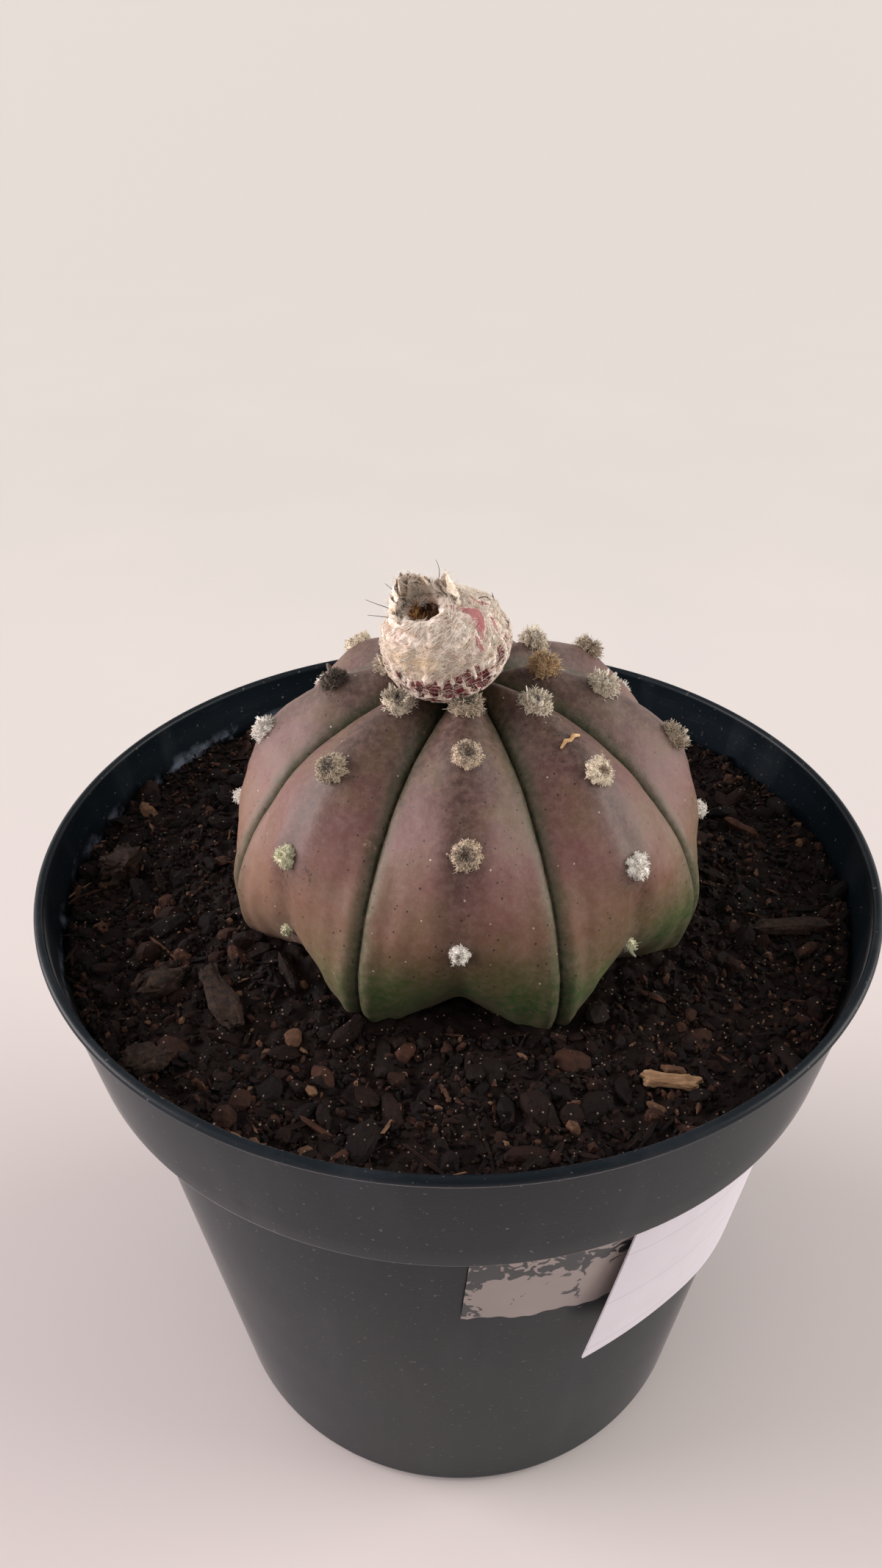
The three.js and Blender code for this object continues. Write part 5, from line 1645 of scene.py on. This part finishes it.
def add_light():
    """Soft light all round, dimmest from the front, and two wide windows at the sides."""
    world = bpy.data.worlds.new("soft surround")
    bpy.context.scene.world = world
    world.use_nodes = True
    add = partial(node, world.node_tree)
    surround = world.node_tree.nodes["Background"]
    surround.inputs["Color"].default_value = linear("fbf7f5")
    toward = add("ShaderNodeTexCoord").outputs["Generated"]
    glow = SKY_GLOW
    for direction, start, gain in SKY_LOBES:
        facing = add("ShaderNodeVectorMath", [toward, direction], operation="DOT_PRODUCT")
        lobe = add("ShaderNodeMapRange", {"Value": facing.outputs["Value"], "From Min": start,
                                          "To Max": gain}, interpolation_type="SMOOTHSTEP")
        glow = add("ShaderNodeMath", [glow, lobe], operation="ADD")
    wire(surround, {"Strength": glow})
    add_window("left window", (-0.95, 0.08, 0.26), 3.6, "fff3f2")
    add_window("right window", (0.95, 0.05, 0.3), 2.4, "fffaf2")


def add_camera():
    """A camera close to the pot, looking down at it, turned and rolled a little."""
    level = math.cos(CAMERA_PITCH)
    forward = Vector((math.sin(CAMERA_YAW) * level, math.cos(CAMERA_YAW) * level, -math.sin(CAMERA_PITCH)))
    right = Vector((math.cos(CAMERA_YAW), -math.sin(CAMERA_YAW), 0))
    up = right.cross(forward)
    turned_right = math.cos(CAMERA_ROLL) * right + math.sin(CAMERA_ROLL) * up
    turned_up = -math.sin(CAMERA_ROLL) * right + math.cos(CAMERA_ROLL) * up
    view = Matrix((turned_right, turned_up, -forward)).transposed().to_4x4()
    view.translation = CAMERA_PLACE
    lens = bpy.data.cameras.new("camera")
    lens.sensor_width = SENSOR_WIDTH_MM
    lens.lens = FOCAL_LENGTH_MM
    lens.clip_start = 0.005
    camera = add_object("camera", lens)
    camera.matrix_world = view
    bpy.context.scene.camera = camera


# ---------------------------------------------------------------- the scene


make_pot()
cactus = make_cactus()
skin_surface = surface_of(cactus.data)
make_mix(skin_surface)
fur = fur_tree()
make_tufts(skin_surface, fur)
make_fruit(fur)
make_crown(fur)
make_sheets()
make_chips()
make_curl()
make_floor()
add_light()
add_camera()
bpy.context.scene.view_settings.view_transform = "Standard"
